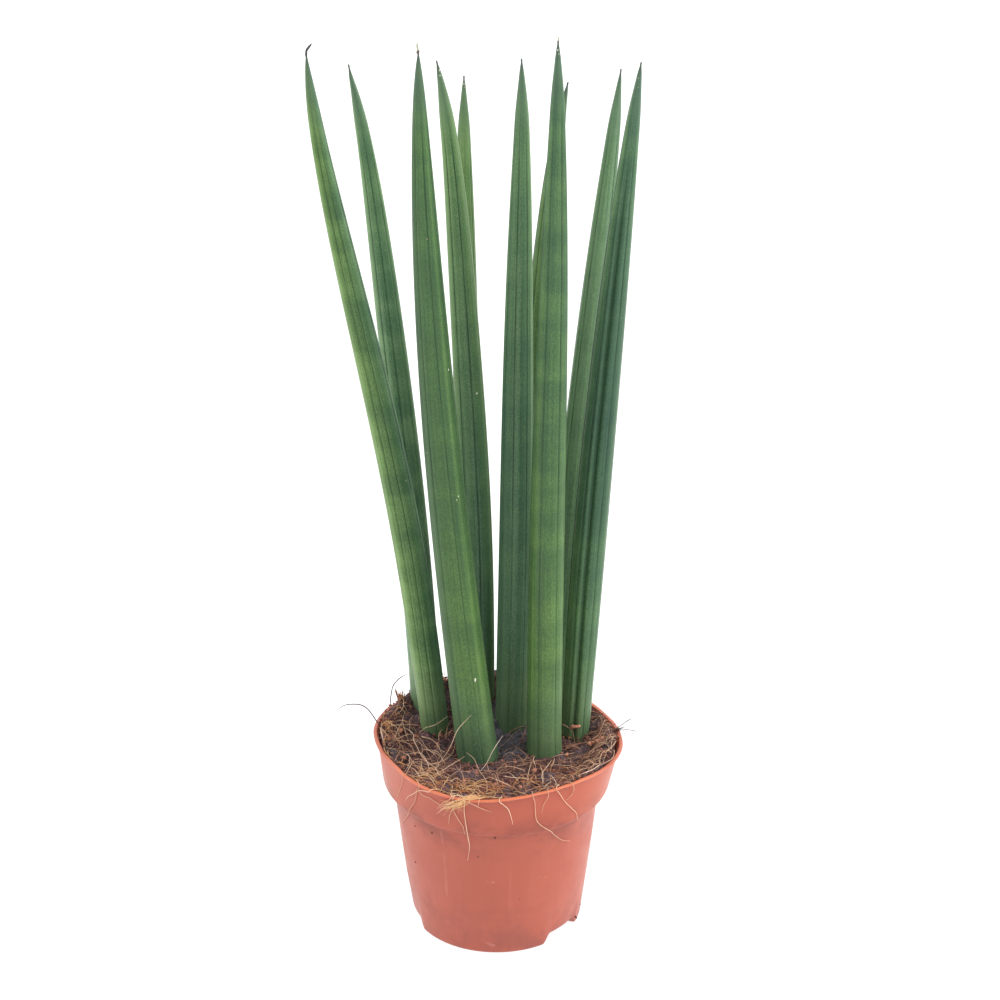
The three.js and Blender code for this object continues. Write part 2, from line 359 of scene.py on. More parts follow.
def tube(path, radius, sides=4):
    """A thin strand along a path, drawn in at both ends."""
    path = np.asarray(path)
    along = np.gradient(path, axis=0)
    along /= np.linalg.norm(along, axis=1)[:, None]
    aside = np.cross(along, (0.31, 0.23, 0.92))
    aside /= np.linalg.norm(aside, axis=1)[:, None] + 1e-9
    over = np.cross(aside, along)
    t = np.linspace(0, 1, len(path))
    thick = radius * (0.35 + 0.65 * np.minimum(1, 5 * np.minimum(t, 1 - t)))
    turn = np.linspace(0, 2 * math.pi, sides, endpoint=False)
    ring = (
        path[:, None]
        + thick[:, None, None] * np.cos(turn)[None, :, None] * aside[:, None]
        + thick[:, None, None] * np.sin(turn)[None, :, None] * over[:, None]
    )
    faces, _ = sheet_faces(len(path), sides)
    return ring.reshape(-1, 3), [*faces.tolist(), *end_caps(len(path), sides)]


def strand(points, count, width, tint, sides=4):
    """A part for gather: a thin strand along a smooth path through the points."""
    return *tube(curve_through(points, count), width / 2, sides), tint


def raised(place, z):
    """The same place at another height."""
    return np.array([place[0], place[1], z])


def ball(level):
    """Vertices and faces of a round lump, of radius 1."""
    made = bmesh.new()
    bmesh.ops.create_icosphere(made, subdivisions=level, radius=1)
    points = np.array([v.co for v in made.verts])
    faces = [[v.index for v in f.verts] for f in made.faces]
    made.free()
    return points, faces


BALLS = {level: ball(level) for level in (1, 2, 4)}


def turned(draw):
    """A random rotation."""
    q = draw.normal(size=4)
    w, x, y, z = q / np.linalg.norm(q)
    return np.array(
        [
            [1 - 2 * (y * y + z * z), 2 * (x * y - z * w), 2 * (x * z + y * w)],
            [2 * (x * y + z * w), 1 - 2 * (x * x + z * z), 2 * (y * z - x * w)],
            [2 * (x * z - y * w), 2 * (y * z + x * w), 1 - 2 * (x * x + y * y)],
        ]
    )


def lump(draw, level, size, place):
    """A crumb: a round lump, knocked out of shape."""
    points, faces = BALLS[level]
    dent = np.sin(points @ draw.normal(size=(3, 3)) * 2.2).sum(axis=1) / 3
    bent = points * (1 + 0.3 * dent)[:, None] * size * draw.uniform(0.55, 1.25, size=3)
    return bent @ turned(draw).T + place, faces


# How much of its cell in the bake map a part takes up.
CELL_SHARE = 0.7


def gather(name, parts, material, node=None):
    """Joins [(points, faces, tint)] into one piece. Each part has its own cell of the bake map."""
    grid = math.ceil(math.sqrt(len(parts)))
    points, faces, uvs, tints = [], [], [], []
    count = 0
    for i, (part_points, part_faces, tint) in enumerate(parts):
        part_points = np.asarray(part_points)
        low = part_points.min(axis=0)
        size = np.maximum(part_points.max(axis=0) - low, 1e-6)
        flat = ((part_points - low) / size)[:, :2] * CELL_SHARE + (1 - CELL_SHARE) / 2
        flat = (np.array([i % grid, i // grid]) + flat) / grid
        for face in part_faces:
            faces.append([count + k for k in face])
            uvs.append(flat[face])
        points.append(part_points)
        tints.append(np.full(len(part_points), tint))
        count += len(part_points)
    piece = make_piece(
        name,
        np.concatenate(points),
        faces,
        material,
        uvs=np.concatenate(uvs),
        numbers={"tint": np.concatenate(tints)},
    )
    declare(piece, node)


# ---- camera and stage ---------------------------------------------------------------------------

CAMERA_PLACE = (0.00173, -1.060, 0.706)
CAMERA_PITCH = 24.46
CAMERA_LENS = 90
SENSOR_WIDTH = 36
FLOOR_REACH = 12
FLOOR_GLOW = 0.82

# The white surroundings are dim in front of the plant and bright behind it, as in a studio, and a
# little brighter on the right than on the left.
FRONT_STRENGTH = 0.47
BACK_STRENGTH = 1.42
FRONT_TINT = (0.84, 0.93, 1, 1)
BACK_TINT = (1, 1, 1, 1)
SIDE_SHARE = 0.3
# Wide, soft lamps: name, azimuth, height in degrees above the floor, strength, width in degrees.
LAMPS = (
    ("lamp_right", 74, 36, 1.85, 55),
    ("lamp_left", -76, 34, 1.05, 55),
    ("lamp_top", 10, 80, 0.5, 70),
)


def make_camera():
    data = bpy.data.cameras.new("camera")
    data.lens = CAMERA_LENS
    data.sensor_width = SENSOR_WIDTH
    camera = placed("camera", data)
    camera.location = CAMERA_PLACE
    camera.rotation_euler = (math.radians(90 - CAMERA_PITCH), 0, 0)
    bpy.context.scene.camera = camera


def make_lamp(name, azimuth, height, strength, width):
    data = bpy.data.lights.new(name, "SUN")
    data.energy = strength
    data.angle = math.radians(width)
    lamp = placed(name, data)
    up = math.radians(height)
    x, y = turned_to(math.radians(azimuth), math.cos(up))
    away = Vector((x, y, math.sin(up)))
    lamp.location = away
    lamp.rotation_mode = "QUATERNION"
    lamp.rotation_quaternion = away.to_track_quat("Z", "Y")


def make_world():
    world = bpy.data.worlds.new("studio")
    graph = Graph(world)
    direction = graph.node("ShaderNodeTexCoord").outputs["Generated"]
    x, y, _ = graph.axes(direction)
    lean = graph.plus(y, graph.times(x, SIDE_SHARE))
    rise = graph.between(lean, -0.5, 0.6, FRONT_STRENGTH, BACK_STRENGTH)
    tint = graph.node("ShaderNodeMix", data_type="RGBA")
    for socket, value in ((0, rise), (6, FRONT_TINT), (7, BACK_TINT)):
        graph.feed(tint.inputs[socket], value)
    background = graph.tree.nodes["Background"]
    graph.feed(background.inputs["Color"], tint.outputs[2])
    graph.feed(background.inputs["Strength"], rise)
    return world


def make_stage():
    scene = bpy.context.scene
    scene.world = make_world()
    scene.view_settings.view_transform = "Standard"
    for lamp in LAMPS:
        make_lamp(*lamp)

    floor = bpy.data.meshes.new("floor")
    reach = FLOOR_REACH
    corners = [(-reach, -reach, 0), (reach, -reach, 0), (reach, reach, 0), (-reach, reach, 0)]
    floor.from_pydata(corners, [], [(0, 1, 2, 3)])
    piece = placed("floor", floor)
    graph = Material("floor_paper", roughness=0.9)
    grain = graph.noise(graph.object_place(), scale=40)
    graph.colour(graph.mix(grain, (150, 150, 150), (154, 154, 154)))
    graph.shader.inputs["Emission Color"].default_value = (1, 1, 1, 1)
    graph.shader.inputs["Emission Strength"].default_value = FLOOR_GLOW
    floor.materials.append(graph.material)


# ---- pot ----------------------------------------------------------------------------------------

POT_SIDES = 288
# No stretch of the outline is longer than this.
LONGEST_STRETCH = 2.6
# The outline ends just off the axis, so that its first and last rows are rings that can be capped.
AXIS_RADIUS = 0.02
# How far a scratch strays from side to side.
SCRATCH_WANDER = 1.6
# Scratches down the wall: azimuths at the top and the foot, heights, half width in mm, strength.
SCRATCHES = (
    (-31.7, -31.2, 71, 28, 1.3, 0.2),
    (-36.2, -36.6, 68, 56, 1.0, 0.12),
    (8.0, 8.4, 52, 22, 1.0, 0.08),
)


def notch_lift(x, y, z):
    turn = np.degrees(np.arctan2(x, -y))
    off = np.min([np.abs(wrapped(turn - middle)) for middle in NOTCH_AZIMUTHS], axis=0)
    along = 1 - smoothstep(off, NOTCH_HALF_ANGLE - NOTCH_RISER_ANGLE, NOTCH_HALF_ANGLE)
    outward = smoothstep(np.hypot(x, y), RISER_FOOT_RADIUS, NOTCH_INNER_RADIUS)
    return NOTCH_LIFT * along * outward * np.maximum(0, 1 - z / NOTCH_TOP)


def swell(table, turn):
    return sum(swing * np.cos(count * (turn - math.radians(peak))) for count, swing, peak in table)


def band_swell(x, y, z):
    """How far the thin plastic stands out of round: the band's foot and the rim differ."""
    turn = np.arctan2(x, -y)
    radius = np.hypot(x, y)
    up = np.clip((z - COLLAR_FOOT) / (LIP_FOOT - COLLAR_FOOT), 0, 1)
    joined = smoothstep(radius, SHOULDER_RADIUS, COLLAR_SWELL_RADIUS)
    at_foot = swell(COLLAR_FOOT_WAVES, turn) * joined
    at_rim = swell(RIM_WAVES, turn) * smoothstep(radius, 0, SHOULDER_RADIUS)
    return (1 - up) * at_foot + up * at_rim


def bend_pot(x, y, z):
    """The CAD's bend: the rim is out of round, and the foot is lifted in its notches."""
    stretch = 1 + band_swell(x, y, z) / np.maximum(np.hypot(x, y), 1e-6)
    return np.stack([x * stretch, y * stretch, z + notch_lift(x, y, z)], axis=-1)


def wall_radius(z):
    """Outside of the pot at a height, before it is bent."""
    heights = [0, COLLAR_FOOT, COLLAR_FOOT + 0.01, LIP_FOOT, LIP_FOOT + 0.1, POT_HEIGHT]
    radii = [BASE_RADIUS, SHOULDER_RADIUS, COLLAR_RADIUS, COLLAR_TOP_RADIUS, RIM_RADIUS, RIM_RADIUS]
    return np.interp(z, heights, radii)


def on_wall(azimuth, z, stand_off=0.0):
    """The point at an azimuth in degrees and a height, off the outside of the bent pot."""
    x, y = turned_to(math.radians(azimuth), float(wall_radius(z)))
    swollen = 1 + (float(band_swell(x, y, z)) + stand_off) / math.hypot(x, y)
    return np.array([x * swollen, y * swollen, z])


def filleted(corners, steps=4):
    """[(radius, height, fillet)] as an outline whose corners are rounded by their fillets."""
    outline = []
    for i, (radius, height, fillet) in enumerate(corners):
        here = np.array((radius, height), float)
        if not fillet:
            outline.append(here)
            continue
        before = np.array(corners[i - 1][:2], float) - here
        after = np.array(corners[i + 1][:2], float) - here
        into = min(fillet, 0.45 * np.linalg.norm(before))
        out = min(fillet, 0.45 * np.linalg.norm(after))
        start = here + before / np.linalg.norm(before) * into
        end = here + after / np.linalg.norm(after) * out
        for t in np.linspace(0, 1, steps + 1):
            outline.append((1 - t) ** 2 * start + 2 * t * (1 - t) * here + t**2 * end)
    return outline


def spread(outline, longest):
    """The outline with extra points, so that no stretch is longer than longest."""
    points = [outline[0]]
    for a, b in zip(outline, outline[1:]):
        count = max(1, math.ceil(np.linalg.norm(b - a) / longest))
        points += [a + (b - a) * k / count for k in range(1, count + 1)]
    return np.array(points)


def pot_outline():
    lip_inner = RIM_RADIUS - LIP_WIDTH
    corners = [
        (AXIS_RADIUS, 0, 0),
        (RISER_FOOT_RADIUS, 0, 0),
        (NOTCH_INNER_RADIUS, 0, 0),
        (BASE_RADIUS - 0.1, 0, 1.5),
        (NOTCH_TOP_RADIUS, NOTCH_TOP, 0),
        (SHOULDER_RADIUS, COLLAR_FOOT, 0.7),
        (COLLAR_RADIUS, COLLAR_FOOT, 1.6),
        (COLLAR_TOP_RADIUS, LIP_FOOT, 0.4),
        (RIM_RADIUS, LIP_FOOT, 0.35),
        (RIM_RADIUS, POT_HEIGHT, 0.5),
        (lip_inner, POT_HEIGHT, 0.5),
        (COLLAR_TOP_RADIUS - WALL, LIP_FOOT - 1, 0.4),
        (COLLAR_RADIUS - WALL, COLLAR_FOOT + WALL, 0.8),
        (SHOULDER_RADIUS - WALL, COLLAR_FOOT + WALL, 0.8),
        (NOTCH_TOP_RADIUS - WALL, NOTCH_TOP, 0),
        (BASE_RADIUS - WALL, FLOOR, 1.2),
        (NOTCH_INNER_RADIUS, FLOOR, 0),
        (RISER_FOOT_RADIUS, FLOOR, 0),
        (AXIS_RADIUS, FLOOR, 0),
    ]
    return spread(filleted(corners), LONGEST_STRETCH)


def scratch_mask(graph, place, top, foot, high, low, half_width, strength):
    """Where a pale, broken, wandering line runs down the wall."""
    x, y, z = graph.axes(place)
    middle = math.radians((top + foot) / 2)
    radius = float(wall_radius((high + low) / 2)) * MM
    across = graph.plus(graph.times(x, math.cos(middle)), graph.times(y, math.sin(middle)))
    lean = radius * math.radians(top - foot) / ((high - low) * MM)
    lean_off = graph.times(graph.minus(z, (high + low) / 2 * MM), lean)
    wander = graph.times(graph.noise(graph.scaled(place, (0, 0, 45))), SCRATCH_WANDER * MM)
    off = graph.minus(graph.minus(across, lean_off), wander)
    away = graph.math("ABSOLUTE", graph.plus(off, SCRATCH_WANDER / 2 * MM))
    line = graph.between(away, half_width * MM, 0)
    front = graph.between(y, -0.02, -0.03)
    above = graph.between(z, low * MM, (low + 9) * MM)
    below = graph.between(z, high * MM, (high - 2) * MM)
    broken = graph.between(graph.noise(graph.scaled(place, (60, 60, 40)), detail=3), 0.35, 0.6)
    return graph.times(line, front, above, below, broken, strength)


SCUFF_STRENGTH = 0.32
# Pale rubbed spots: azimuth, height, and how far they reach across and up, in millimetres.
SCUFFS = (
    (-4.9, 44.4, 1.1, 0.7), (-2, 44.5, 1.0, 0.7), (25.7, 44.3, 1.3, 0.6), (30.5, 43, 1.1, 0.6),
    (-5.6, 6.4, 1.3, 1.0), (-3, 5.2, 1.7, 1.1), (-33, 15, 1.5, 0.9), (140, 38, 2.5, 1.2),
)


def scuff_mask(graph, place, grime_and_shade, azimuth, z, across, up):
    """Where the wall is rubbed pale round a point, in a broken patch."""
    centre = on_wall(azimuth, z) * MM
    offset = graph.node("ShaderNodeVectorMath", operation="SUBTRACT")
    graph.feed(offset.inputs[0], place)
    offset.inputs[1].default_value = centre
    scale = (1 / (across * MM), 1 / (across * MM), 1 / (up * MM))
    length = graph.node("ShaderNodeVectorMath", operation="LENGTH")
    graph.feed(length.inputs[0], graph.scaled(offset.outputs[0], scale))
    near = graph.between(length.outputs["Value"], 0.5, 1.3, 1, 0)
    return graph.times(near, graph.between(grime_and_shade, 0.42, 0.6), SCUFF_STRENGTH)


def pot_material():
    graph = Material("moulded_plastic", roughness=0.4)
    graph.shader.inputs["Specular IOR Level"].default_value = 0.68
    place = graph.object_place()
    x, _, z = graph.axes(place)
    cloud = graph.noise(place, scale=28, detail=3)
    colour = graph.mix(cloud, (173, 75, 50), (183, 84, 57))
    # faint upright flow marks from the moulding
    flow = graph.noise(graph.scaled(place, (200, 200, 5)), detail=3, roughness=0.6)
    colour = graph.mix(graph.between(flow, 0.45, 0.75, 0, 0.06), colour, (208, 124, 102))
    # painted shade, darkest at the foot of the wall, broken up by a grime noise that the scuffs and
    # the roughness also use
    grime_and_shade = graph.noise(place, scale=70, detail=5, roughness=0.65)
    low = graph.between(z, 0.045, 0.0, 0.06, 0.62)
    colour = graph.mix(graph.times(graph.between(grime_and_shade, 0.35, 0.7), low), colour, (140, 66, 56))
    # painted shade, in blotches, under the collar's overhang and along its foot
    blotch = graph.noise(graph.scaled(place, (1, 1, 1.6)), scale=48, detail=4, roughness=0.6)
    under = graph.between(z, (COLLAR_FOOT - 22) * MM, (COLLAR_FOOT - 4) * MM, 0, 0.7)
    band = graph.between(z, COLLAR_FOOT * MM, (COLLAR_FOOT + 13) * MM, 1, 0)
    collar_shade = graph.times(under, band, graph.between(blotch, 0.4, 0.6))
    colour = graph.mix(collar_shade, colour, (136, 56, 38))
    # painted sheen: the collar is a little paler on its two sides, where grazing light catches it
    beside = graph.between(graph.times(x, x), 0.0007, 0.0026, 0, 0.22)
    # painted sheen on the collar's two sides
    rubbed = graph.times(beside, graph.between(z, COLLAR_FOOT * MM, (COLLAR_FOOT + 3) * MM))
    colour = graph.mix(rubbed, colour, (212, 122, 92))
    for scuff in SCUFFS:
        colour = graph.mix(scuff_mask(graph, place, grime_and_shade, *scuff), colour, (222, 148, 130))
    for scratch in SCRATCHES:
        colour = graph.mix(scratch_mask(graph, place, *scratch), colour, (226, 150, 130))
    # painted glow: the thin lip is coloured as if light came through it, least on its two sides
    lip = graph.between(z, (LIP_FOOT - 0.1) * MM, (LIP_FOOT + 0.4) * MM)
    thin = graph.between(graph.times(x, x), 0.0018, 0.0031, 0.85, 0.25)
    colour = graph.mix(graph.times(lip, thin), colour, (220, 120, 82))
    graph.colour(colour)
    graph.roughness(graph.between(grime_and_shade, 0.3, 0.7, 0.34, 0.46))
    fine = graph.noise(place, scale=900)
    graph.bump(fine, 0.12, 0.12)
    return graph.material


def make_pot():
    outline = pot_outline()
    x, y, radius = circles(outline[:, 0], POT_SIDES)
    z = np.repeat(outline[:, 1], POT_SIDES)
    # soft waves in the thin wall, and an uneven lip
    places = np.stack([x, y, z], axis=-1)
    lip = smoothstep(z, LIP_FOOT - 1, POT_HEIGHT)
    wavy = 0.16 * waves(places, 3, 22) * smoothstep(z, 4, 20) + 0.22 * waves(places, 5, 7) * lip
    grow = 1 + wavy / np.maximum(radius, 5)
    points = bend_pot(x * grow, y * grow, z)
    points[:, 2] += 0.16 * waves(places, 8, 9) * lip
    faces, uvs = sheet_faces(len(outline), POT_SIDES)
    cap_uvs = [(0.5, 0.0)] * POT_SIDES + [(0.5, 1.0)] * POT_SIDES
    piece = make_piece(
        "nursery_pot",
        points,
        [*faces.tolist(), *end_caps(len(outline), POT_SIDES)],
        pot_material(),
        uvs=np.concatenate([uvs, cap_uvs]),
    )
    drill_drains(piece)
    declare(piece, "pot")


def drill_drains(piece):
    """A drain hole through the raised floor of each notch."""
    drills = bmesh.new()
    for azimuth in NOTCH_AZIMUTHS:
        made = bmesh.ops.create_cone(
            drills, cap_ends=True, segments=32, depth=6 * MM,
            radius1=DRAIN_RADIUS * MM, radius2=DRAIN_RADIUS * MM,
        )
        x, y = turned_to(math.radians(azimuth), DRAIN_CIRCLE)
        place = Vector((x, y, NOTCH_LIFT + FLOOR / 2))
        bmesh.ops.translate(drills, verts=made["verts"], vec=place * MM)
    mesh = bpy.data.meshes.new("drills")
    drills.to_mesh(mesh)
    drills.free()
    tool = placed("drills", mesh)
    cut = piece.modifiers.new("drains", "BOOLEAN")
    cut.object = tool
    cut.operation = "DIFFERENCE"
    cut.solver = "EXACT"
    graph = bpy.context.evaluated_depsgraph_get()
    whole = bpy.data.meshes.new_from_object(piece.evaluated_get(graph))
    piece.modifiers.remove(cut)
    piece.data = whole
    bpy.data.objects.remove(tool)


# Dust specks on the wall: azimuth, height, size in millimetres. The three low ones at 67 to 77
# degrees, by a notch, are dark marks of painted shade where the notch's riser is in shadow.
SPECKS = (
    (-52.2, 65.4, 0.38), (-38.2, 66.9, 0.55), (-57.3, 41.8, 0.36), (-10.3, 59.1, 0.36),
    (-0.7, 71.1, 0.42), (67.5, 3.2, 0.7), (69.5, 2.6, 0.6), (76.3, 7.2, 0.4), (14, 33, 0.25),
    (118, 60, 0.3), (150, 44, 0.4), (-140, 52, 0.36), (-165, 70, 0.28), (97, 31, 0.3),
)


def make_specks(material):
    draw = np.random.default_rng(SPECK_SEED)
    parts = []
    for azimuth, z, size in SPECKS:
        x, y, height = on_wall(azimuth, z, 0.1)
        lift = float(notch_lift(x, y, z))
        parts.append((*lump(draw, 1, size, (x, y, height + lift)), 0.25))
    gather("dust_and_shade_specks", parts, material)


# ---- leaves -------------------------------------------------------------------------------------

LEAF_ROWS = 120
LEAF_COLUMNS = 72
TIP_RADIUS = 0.4

# furrows: azimuths of the dark lines in front, painted shade in the creases, and lines: how dark
# they are. ridges: azimuths of thin pale lines, painted highlights. flanks: azimuth, width and
# strength of each yellowish side, partly the leaf's own colour and partly painted light on its lit
# edges; cool_sides: the same for each bluish side, painted shade. tone: at the foot, halfway and at
# the tip, 0 for light green to 1 for dark green, set partly by how much light each leaf gets, so
# partly painted light and shade. cool: at the foot and at the tip, 0 for yellowish to 1 for bluish,
# higher on leaves in shade, as painted shade. bands: how strong the cross bands are. twist: degrees
# turned from foot to tip. channel: azimuth of a deep groove, darkened inside with painted shade.
# tip_rise: how far the dry tip stands above the CAD leaf, in millimetres.
PLAIN_LEAF = {"lines": 0.6, "ridges": (), "cool_sides": (), "twist": 0, "tip_rise": 0}
LEAF_LOOKS = {
    "leaf_far_left": {
        "furrows": (-17, 14), "lines": 0.5, "flanks": ((-62, 30, 0.7),), "bands": 1.0, "twist": 6,
        "tone": (0.38, 0.32, 0.36), "cool": (0.2, 0.1), "cool_sides": ((62, 42, 0.7),),
        "tip_rise": 1.9,
    },
    "leaf_left_rear": {
        "furrows": (8, 52), "flanks": ((-56, 34, 0.6), (76, 16, 0.4)), "bands": 0.9, "twist": -8,
        "tone": (0.36, 0.33, 0.3), "cool": (1, 0.6), "tip_rise": 1.1,
    },
    "leaf_front_left": {
        "furrows": (-40, 14, 66), "lines": 0.8, "flanks": ((41, 9, 0.35), (46, 24, 0.2)),
        "tone": (0.6, 0.72, 0.54), "cool": (0, 0.3), "bands": 0.55, "twist": -6, "tip_rise": 1.9,
    },
    "leaf_centre_left": {
        "furrows": (-36, 14), "lines": 0.7, "flanks": ((-66, 30, 0.9), (76, 18, 0.8)),
        "tone": (0.4, 0.4, 0.16), "cool": (0.9, 0.4), "bands": 0.35, "twist": 3,
    },
    "leaf_rear_left": {
        "furrows": (6, 55), "flanks": ((-14, 40, 0.6),), "bands": 0.6,
        "tone": (0.3, 0.3, 0.3), "cool": (0.3, 0.3),
    },
    "leaf_centre": {
        "furrows": (-14, 36), "lines": 0.85, "ridges": (57,), "flanks": ((74, 22, 0.5),),
        "tone": (0.28, 0.5, 0.26), "cool": (0.85, 0.6), "bands": 0.35, "twist": -4,
    },
    "leaf_front_right": {
        "furrows": (-76, -27, 34), "flanks": ((-44, 16, 0.5), (78, 12, 0.4)),
        "tone": (0.5, 0.6, 0.48), "cool": (0, 0.6), "bands": 0.8, "twist": -9,
    },
    "leaf_rear_centre": {
        "furrows": (-40, 12), "flanks": ((-30, 40, 0.6),), "bands": 0.6,
        "tone": (0.4, 0.4, 0.4), "cool": (0.3, 0.4),
    },
    "leaf_right_rear": {
        "furrows": (-41, 38), "ridges": (-5,), "flanks": ((-20, 40, 0.35),),
        "tone": (0.16, 0.13, 0.2), "cool": (1, 0.85), "bands": 0.5, "twist": 3,
    },
    "leaf_far_right": {
        "furrows": (-34, 30), "lines": 0.5, "ridges": (-66, 62), "channel": -8, "twist": 4,
        "flanks": ((-70, 14, 0.5), (-48, 26, 0.5)), "tone": (0.34, 0.82, 0.33),
        "cool": (0.42, 0.85), "bands": 0.5,
    },
}
# How far apart the leaves lie in the space that their material's noises are read from.
LEAF_APART = 700
# Radius of the circle that a leaf's skin is laid round in that space.
LEAF_GIRTH = 8

# A leaf's points. z has one height for each row of them. The others have one number for each: tall
# is how far up the leaf it is, turn its azimuth and thick the leaf's radius there.
LeafGrid = namedtuple("LeafGrid", "z tall turn thick")


class Spine:
    """A leaf's centre line and half thickness by height, from the CAD leaf's level rings."""

    def __init__(self, name, tip_rise):
        vertices = np.array([v.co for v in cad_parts[name].data.vertices]) / MM
        vertices = np.unique(vertices.round(3), axis=0)
        rings = []
        for height in np.unique(vertices[:, 2].round(2)):
            ring = vertices[np.abs(vertices[:, 2] - height) < 0.02]
            if len(ring) > 6:
                ring = ring[np.hypot(*(ring[:, :2] - ring[:, :2].mean(axis=0)).T) > 0.2]
                centre = ring[:, :2].mean(axis=0)
                rings.append((height, *centre, np.hypot(*(ring[:, :2] - centre).T).mean()))
        tip = vertices[vertices[:, 2].argmax()]
        rings.append((tip[2] + tip_rise, tip[0], tip[1], 0.0))
        self.z, self.x, self.y, self.r = np.array(rings).T
        self.foot = self.z[0]
        self.tip = self.z[-1]

    def centre(self, z):
        return np.stack([eased(z, self.z, self.x), eased(z, self.z, self.y)], axis=-1)

    def radius(self, z):
        return np.maximum(eased(z, self.z, self.r), TIP_RADIUS)


def leaf_furrows(look, draw):
    """(azimuth, depth, half width, upper end) of each furrow, all round the leaf."""
    main = sorted(look["furrows"])
    azimuth = main[-1]
    while azimuth < main[0] + 290:
        azimuth += draw.uniform(46, 60)
        main.append(azimuth)
    furrows = [(a, draw.uniform(0.24, 0.32), 0.27, 0.97) for a in main]
    for a, b in zip(main, [*main[1:], main[0] + 360]):
        between = a + (b - a) * draw.uniform(0.4, 0.6)
        furrows.append((between, draw.uniform(0.06, 0.13), 0.25, draw.uniform(0.3, 0.8)))
    return furrows


def leaf_columns(furrows, ridges):
    """Azimuths of a leaf's columns, closer together at the furrows and ridges."""
    columns = set(np.round(np.arange(LEAF_COLUMNS) * 360 / LEAF_COLUMNS, 2))
    for azimuth in ridges:
        columns |= {round((azimuth + step) % 360, 2) for step in (-3.4, -1.7, 0, 1.7, 3.4)}
    for azimuth, depth, *_ in furrows:
        near = (-5, -2.8, -1.2, 0, 1.2, 2.8, 5) if depth > 0.2 else (-2.4, 0, 2.4)
        columns |= {round((azimuth + step) % 360, 2) for step in near}
    ordered = np.array(sorted(columns))
    return ordered[np.append(True, np.diff(ordered) > 0.9)]


def noise_along(z, azimuth, seed, size):
    """Smooth noise up one line of a leaf, for each of its rows."""
    return waves(np.stack([z, 0 * z + azimuth, 0 * z], axis=-1), seed, size)[:, None]


def leaf_relief(grid, index, look, furrows, draw):
    """How deep the skin is sunk, how dark its furrows and channel are (painted shade), and how pale
    its ridges (painted highlights).
    """
    z, tall, turn, thick = grid
    sunk = 0 * turn
    dark = 0 * turn
    ridge = 0 * turn
    for azimuth, depth, width, end in furrows:
        off = np.radians(wrapped(turn - azimuth)) * thick
        here = 1 - smoothstep(tall, end - 0.12, end)
        sunk += depth * here * bell(off, width)
        sunk += 0.6 * depth * here * bell(off, 5 * width)
        patchy = 0.9 + 0.4 * noise_along(z, azimuth, 60 + index, 14)
        strength = depth / 0.28 * draw.uniform(0.85, 1.1) * patchy
        strength = look["lines"] * strength * (0.3 + 0.7 * smoothstep(tall, 0.1, 0.45))
        dark = np.maximum(dark, strength * here * bell(off, width))
    # thin pale lines along the ridges, painted highlights
    for azimuth in look["ridges"]:
        off = np.radians(wrapped(turn - azimuth)) * thick
        fading = 0.75 + 0.8 * noise_along(z, azimuth, 80 + index, 30)
        here = smoothstep(tall, 0.15, 0.5) * (1 - smoothstep(tall, 0.8, 0.95))
        ridge = np.maximum(ridge, here * np.clip(fading, 0.2, 1) * bell(off, 0.3))
    sunk -= 0.12 * ridge
    # a deep channel, sunk into the skin and darkened inside with painted shade
    if "channel" in look:
        off = np.radians(wrapped(turn - look["channel"])) * thick
        here = (1 - smoothstep(tall, 0.8, 0.97)) * np.minimum(1, thick / 6)
        sunk += 1.5 * here * bell(off, 1.15)
        sunk -= 0.1 * here * bell(off + 2.2, 0.9)
        dark = np.maximum(dark, 0.5 * here * bell(off, 0.9))
    return sunk * np.minimum(1, thick / 4), dark, ridge


def on_sides(turn, sides):
    """How much each azimuth belongs to the sides given as (azimuth, width, strength)."""
    total = 0 * turn
    for azimuth, width, strength in sides:
        total += strength * bell(wrapped(turn - azimuth), width)
    return total


def leaf_faces(rows, columns):
    """Faces and UVs of a leaf: its sheet, a fan up to the tip, and its bottom."""
    faces, uvs = sheet_faces(rows, columns)
    top = (rows - 1) * columns
    fan = [(top + c, top + (c + 1) % columns, top + columns) for c in range(columns)]
    fan_uvs = [((c + side) / columns, 1.0) for c in range(columns) for side in (0, 1, 0.5)]
    bottom = list(range(columns - 1, -1, -1))
    bottom_uvs = [(c / columns, 0.0) for c in bottom]
    return [*faces.tolist(), *fan, bottom], np.concatenate([uvs, fan_uvs, bottom_uvs])


def leaf_numbers(grid, look, span, dark, ridge):
    """What the skin's material reads: a number for each point, and one for the tip."""
    tall, turn = grid.tall, grid.turn
    from_tip = (1 - tall) * span
    foot_cool, tip_cool = look["cool"]
    cool = foot_cool + (tip_cool - foot_cool) * tall + on_sides(turn, look["cool_sides"])
    numbers = {
        "leaf_furrow": (dark, 0),
        "leaf_flank": (on_sides(turn, look["flanks"]), 0),
        "leaf_tip": (1 - smoothstep(from_tip, 4, 42), 1),
        "leaf_end": (1 - smoothstep(from_tip, 1, 8), 1),
        "leaf_foot_shade": (1 - smoothstep(tall, 0.01, 0.15), 0),
        "leaf_shade": (1 - smoothstep(tall, 0.0, 0.07), 0),
        "leaf_tone": (np.interp(tall, (0, 0.5, 1), look["tone"]), look["tone"][2]),
        "leaf_cool": (cool, tip_cool),
        "leaf_bands": (look["bands"] + 0 * turn, look["bands"]),
        "leaf_ridge_highlight": (ridge, 0),
    }
    return {key: np.append(values, at_tip) for key, (values, at_tip) in numbers.items()}


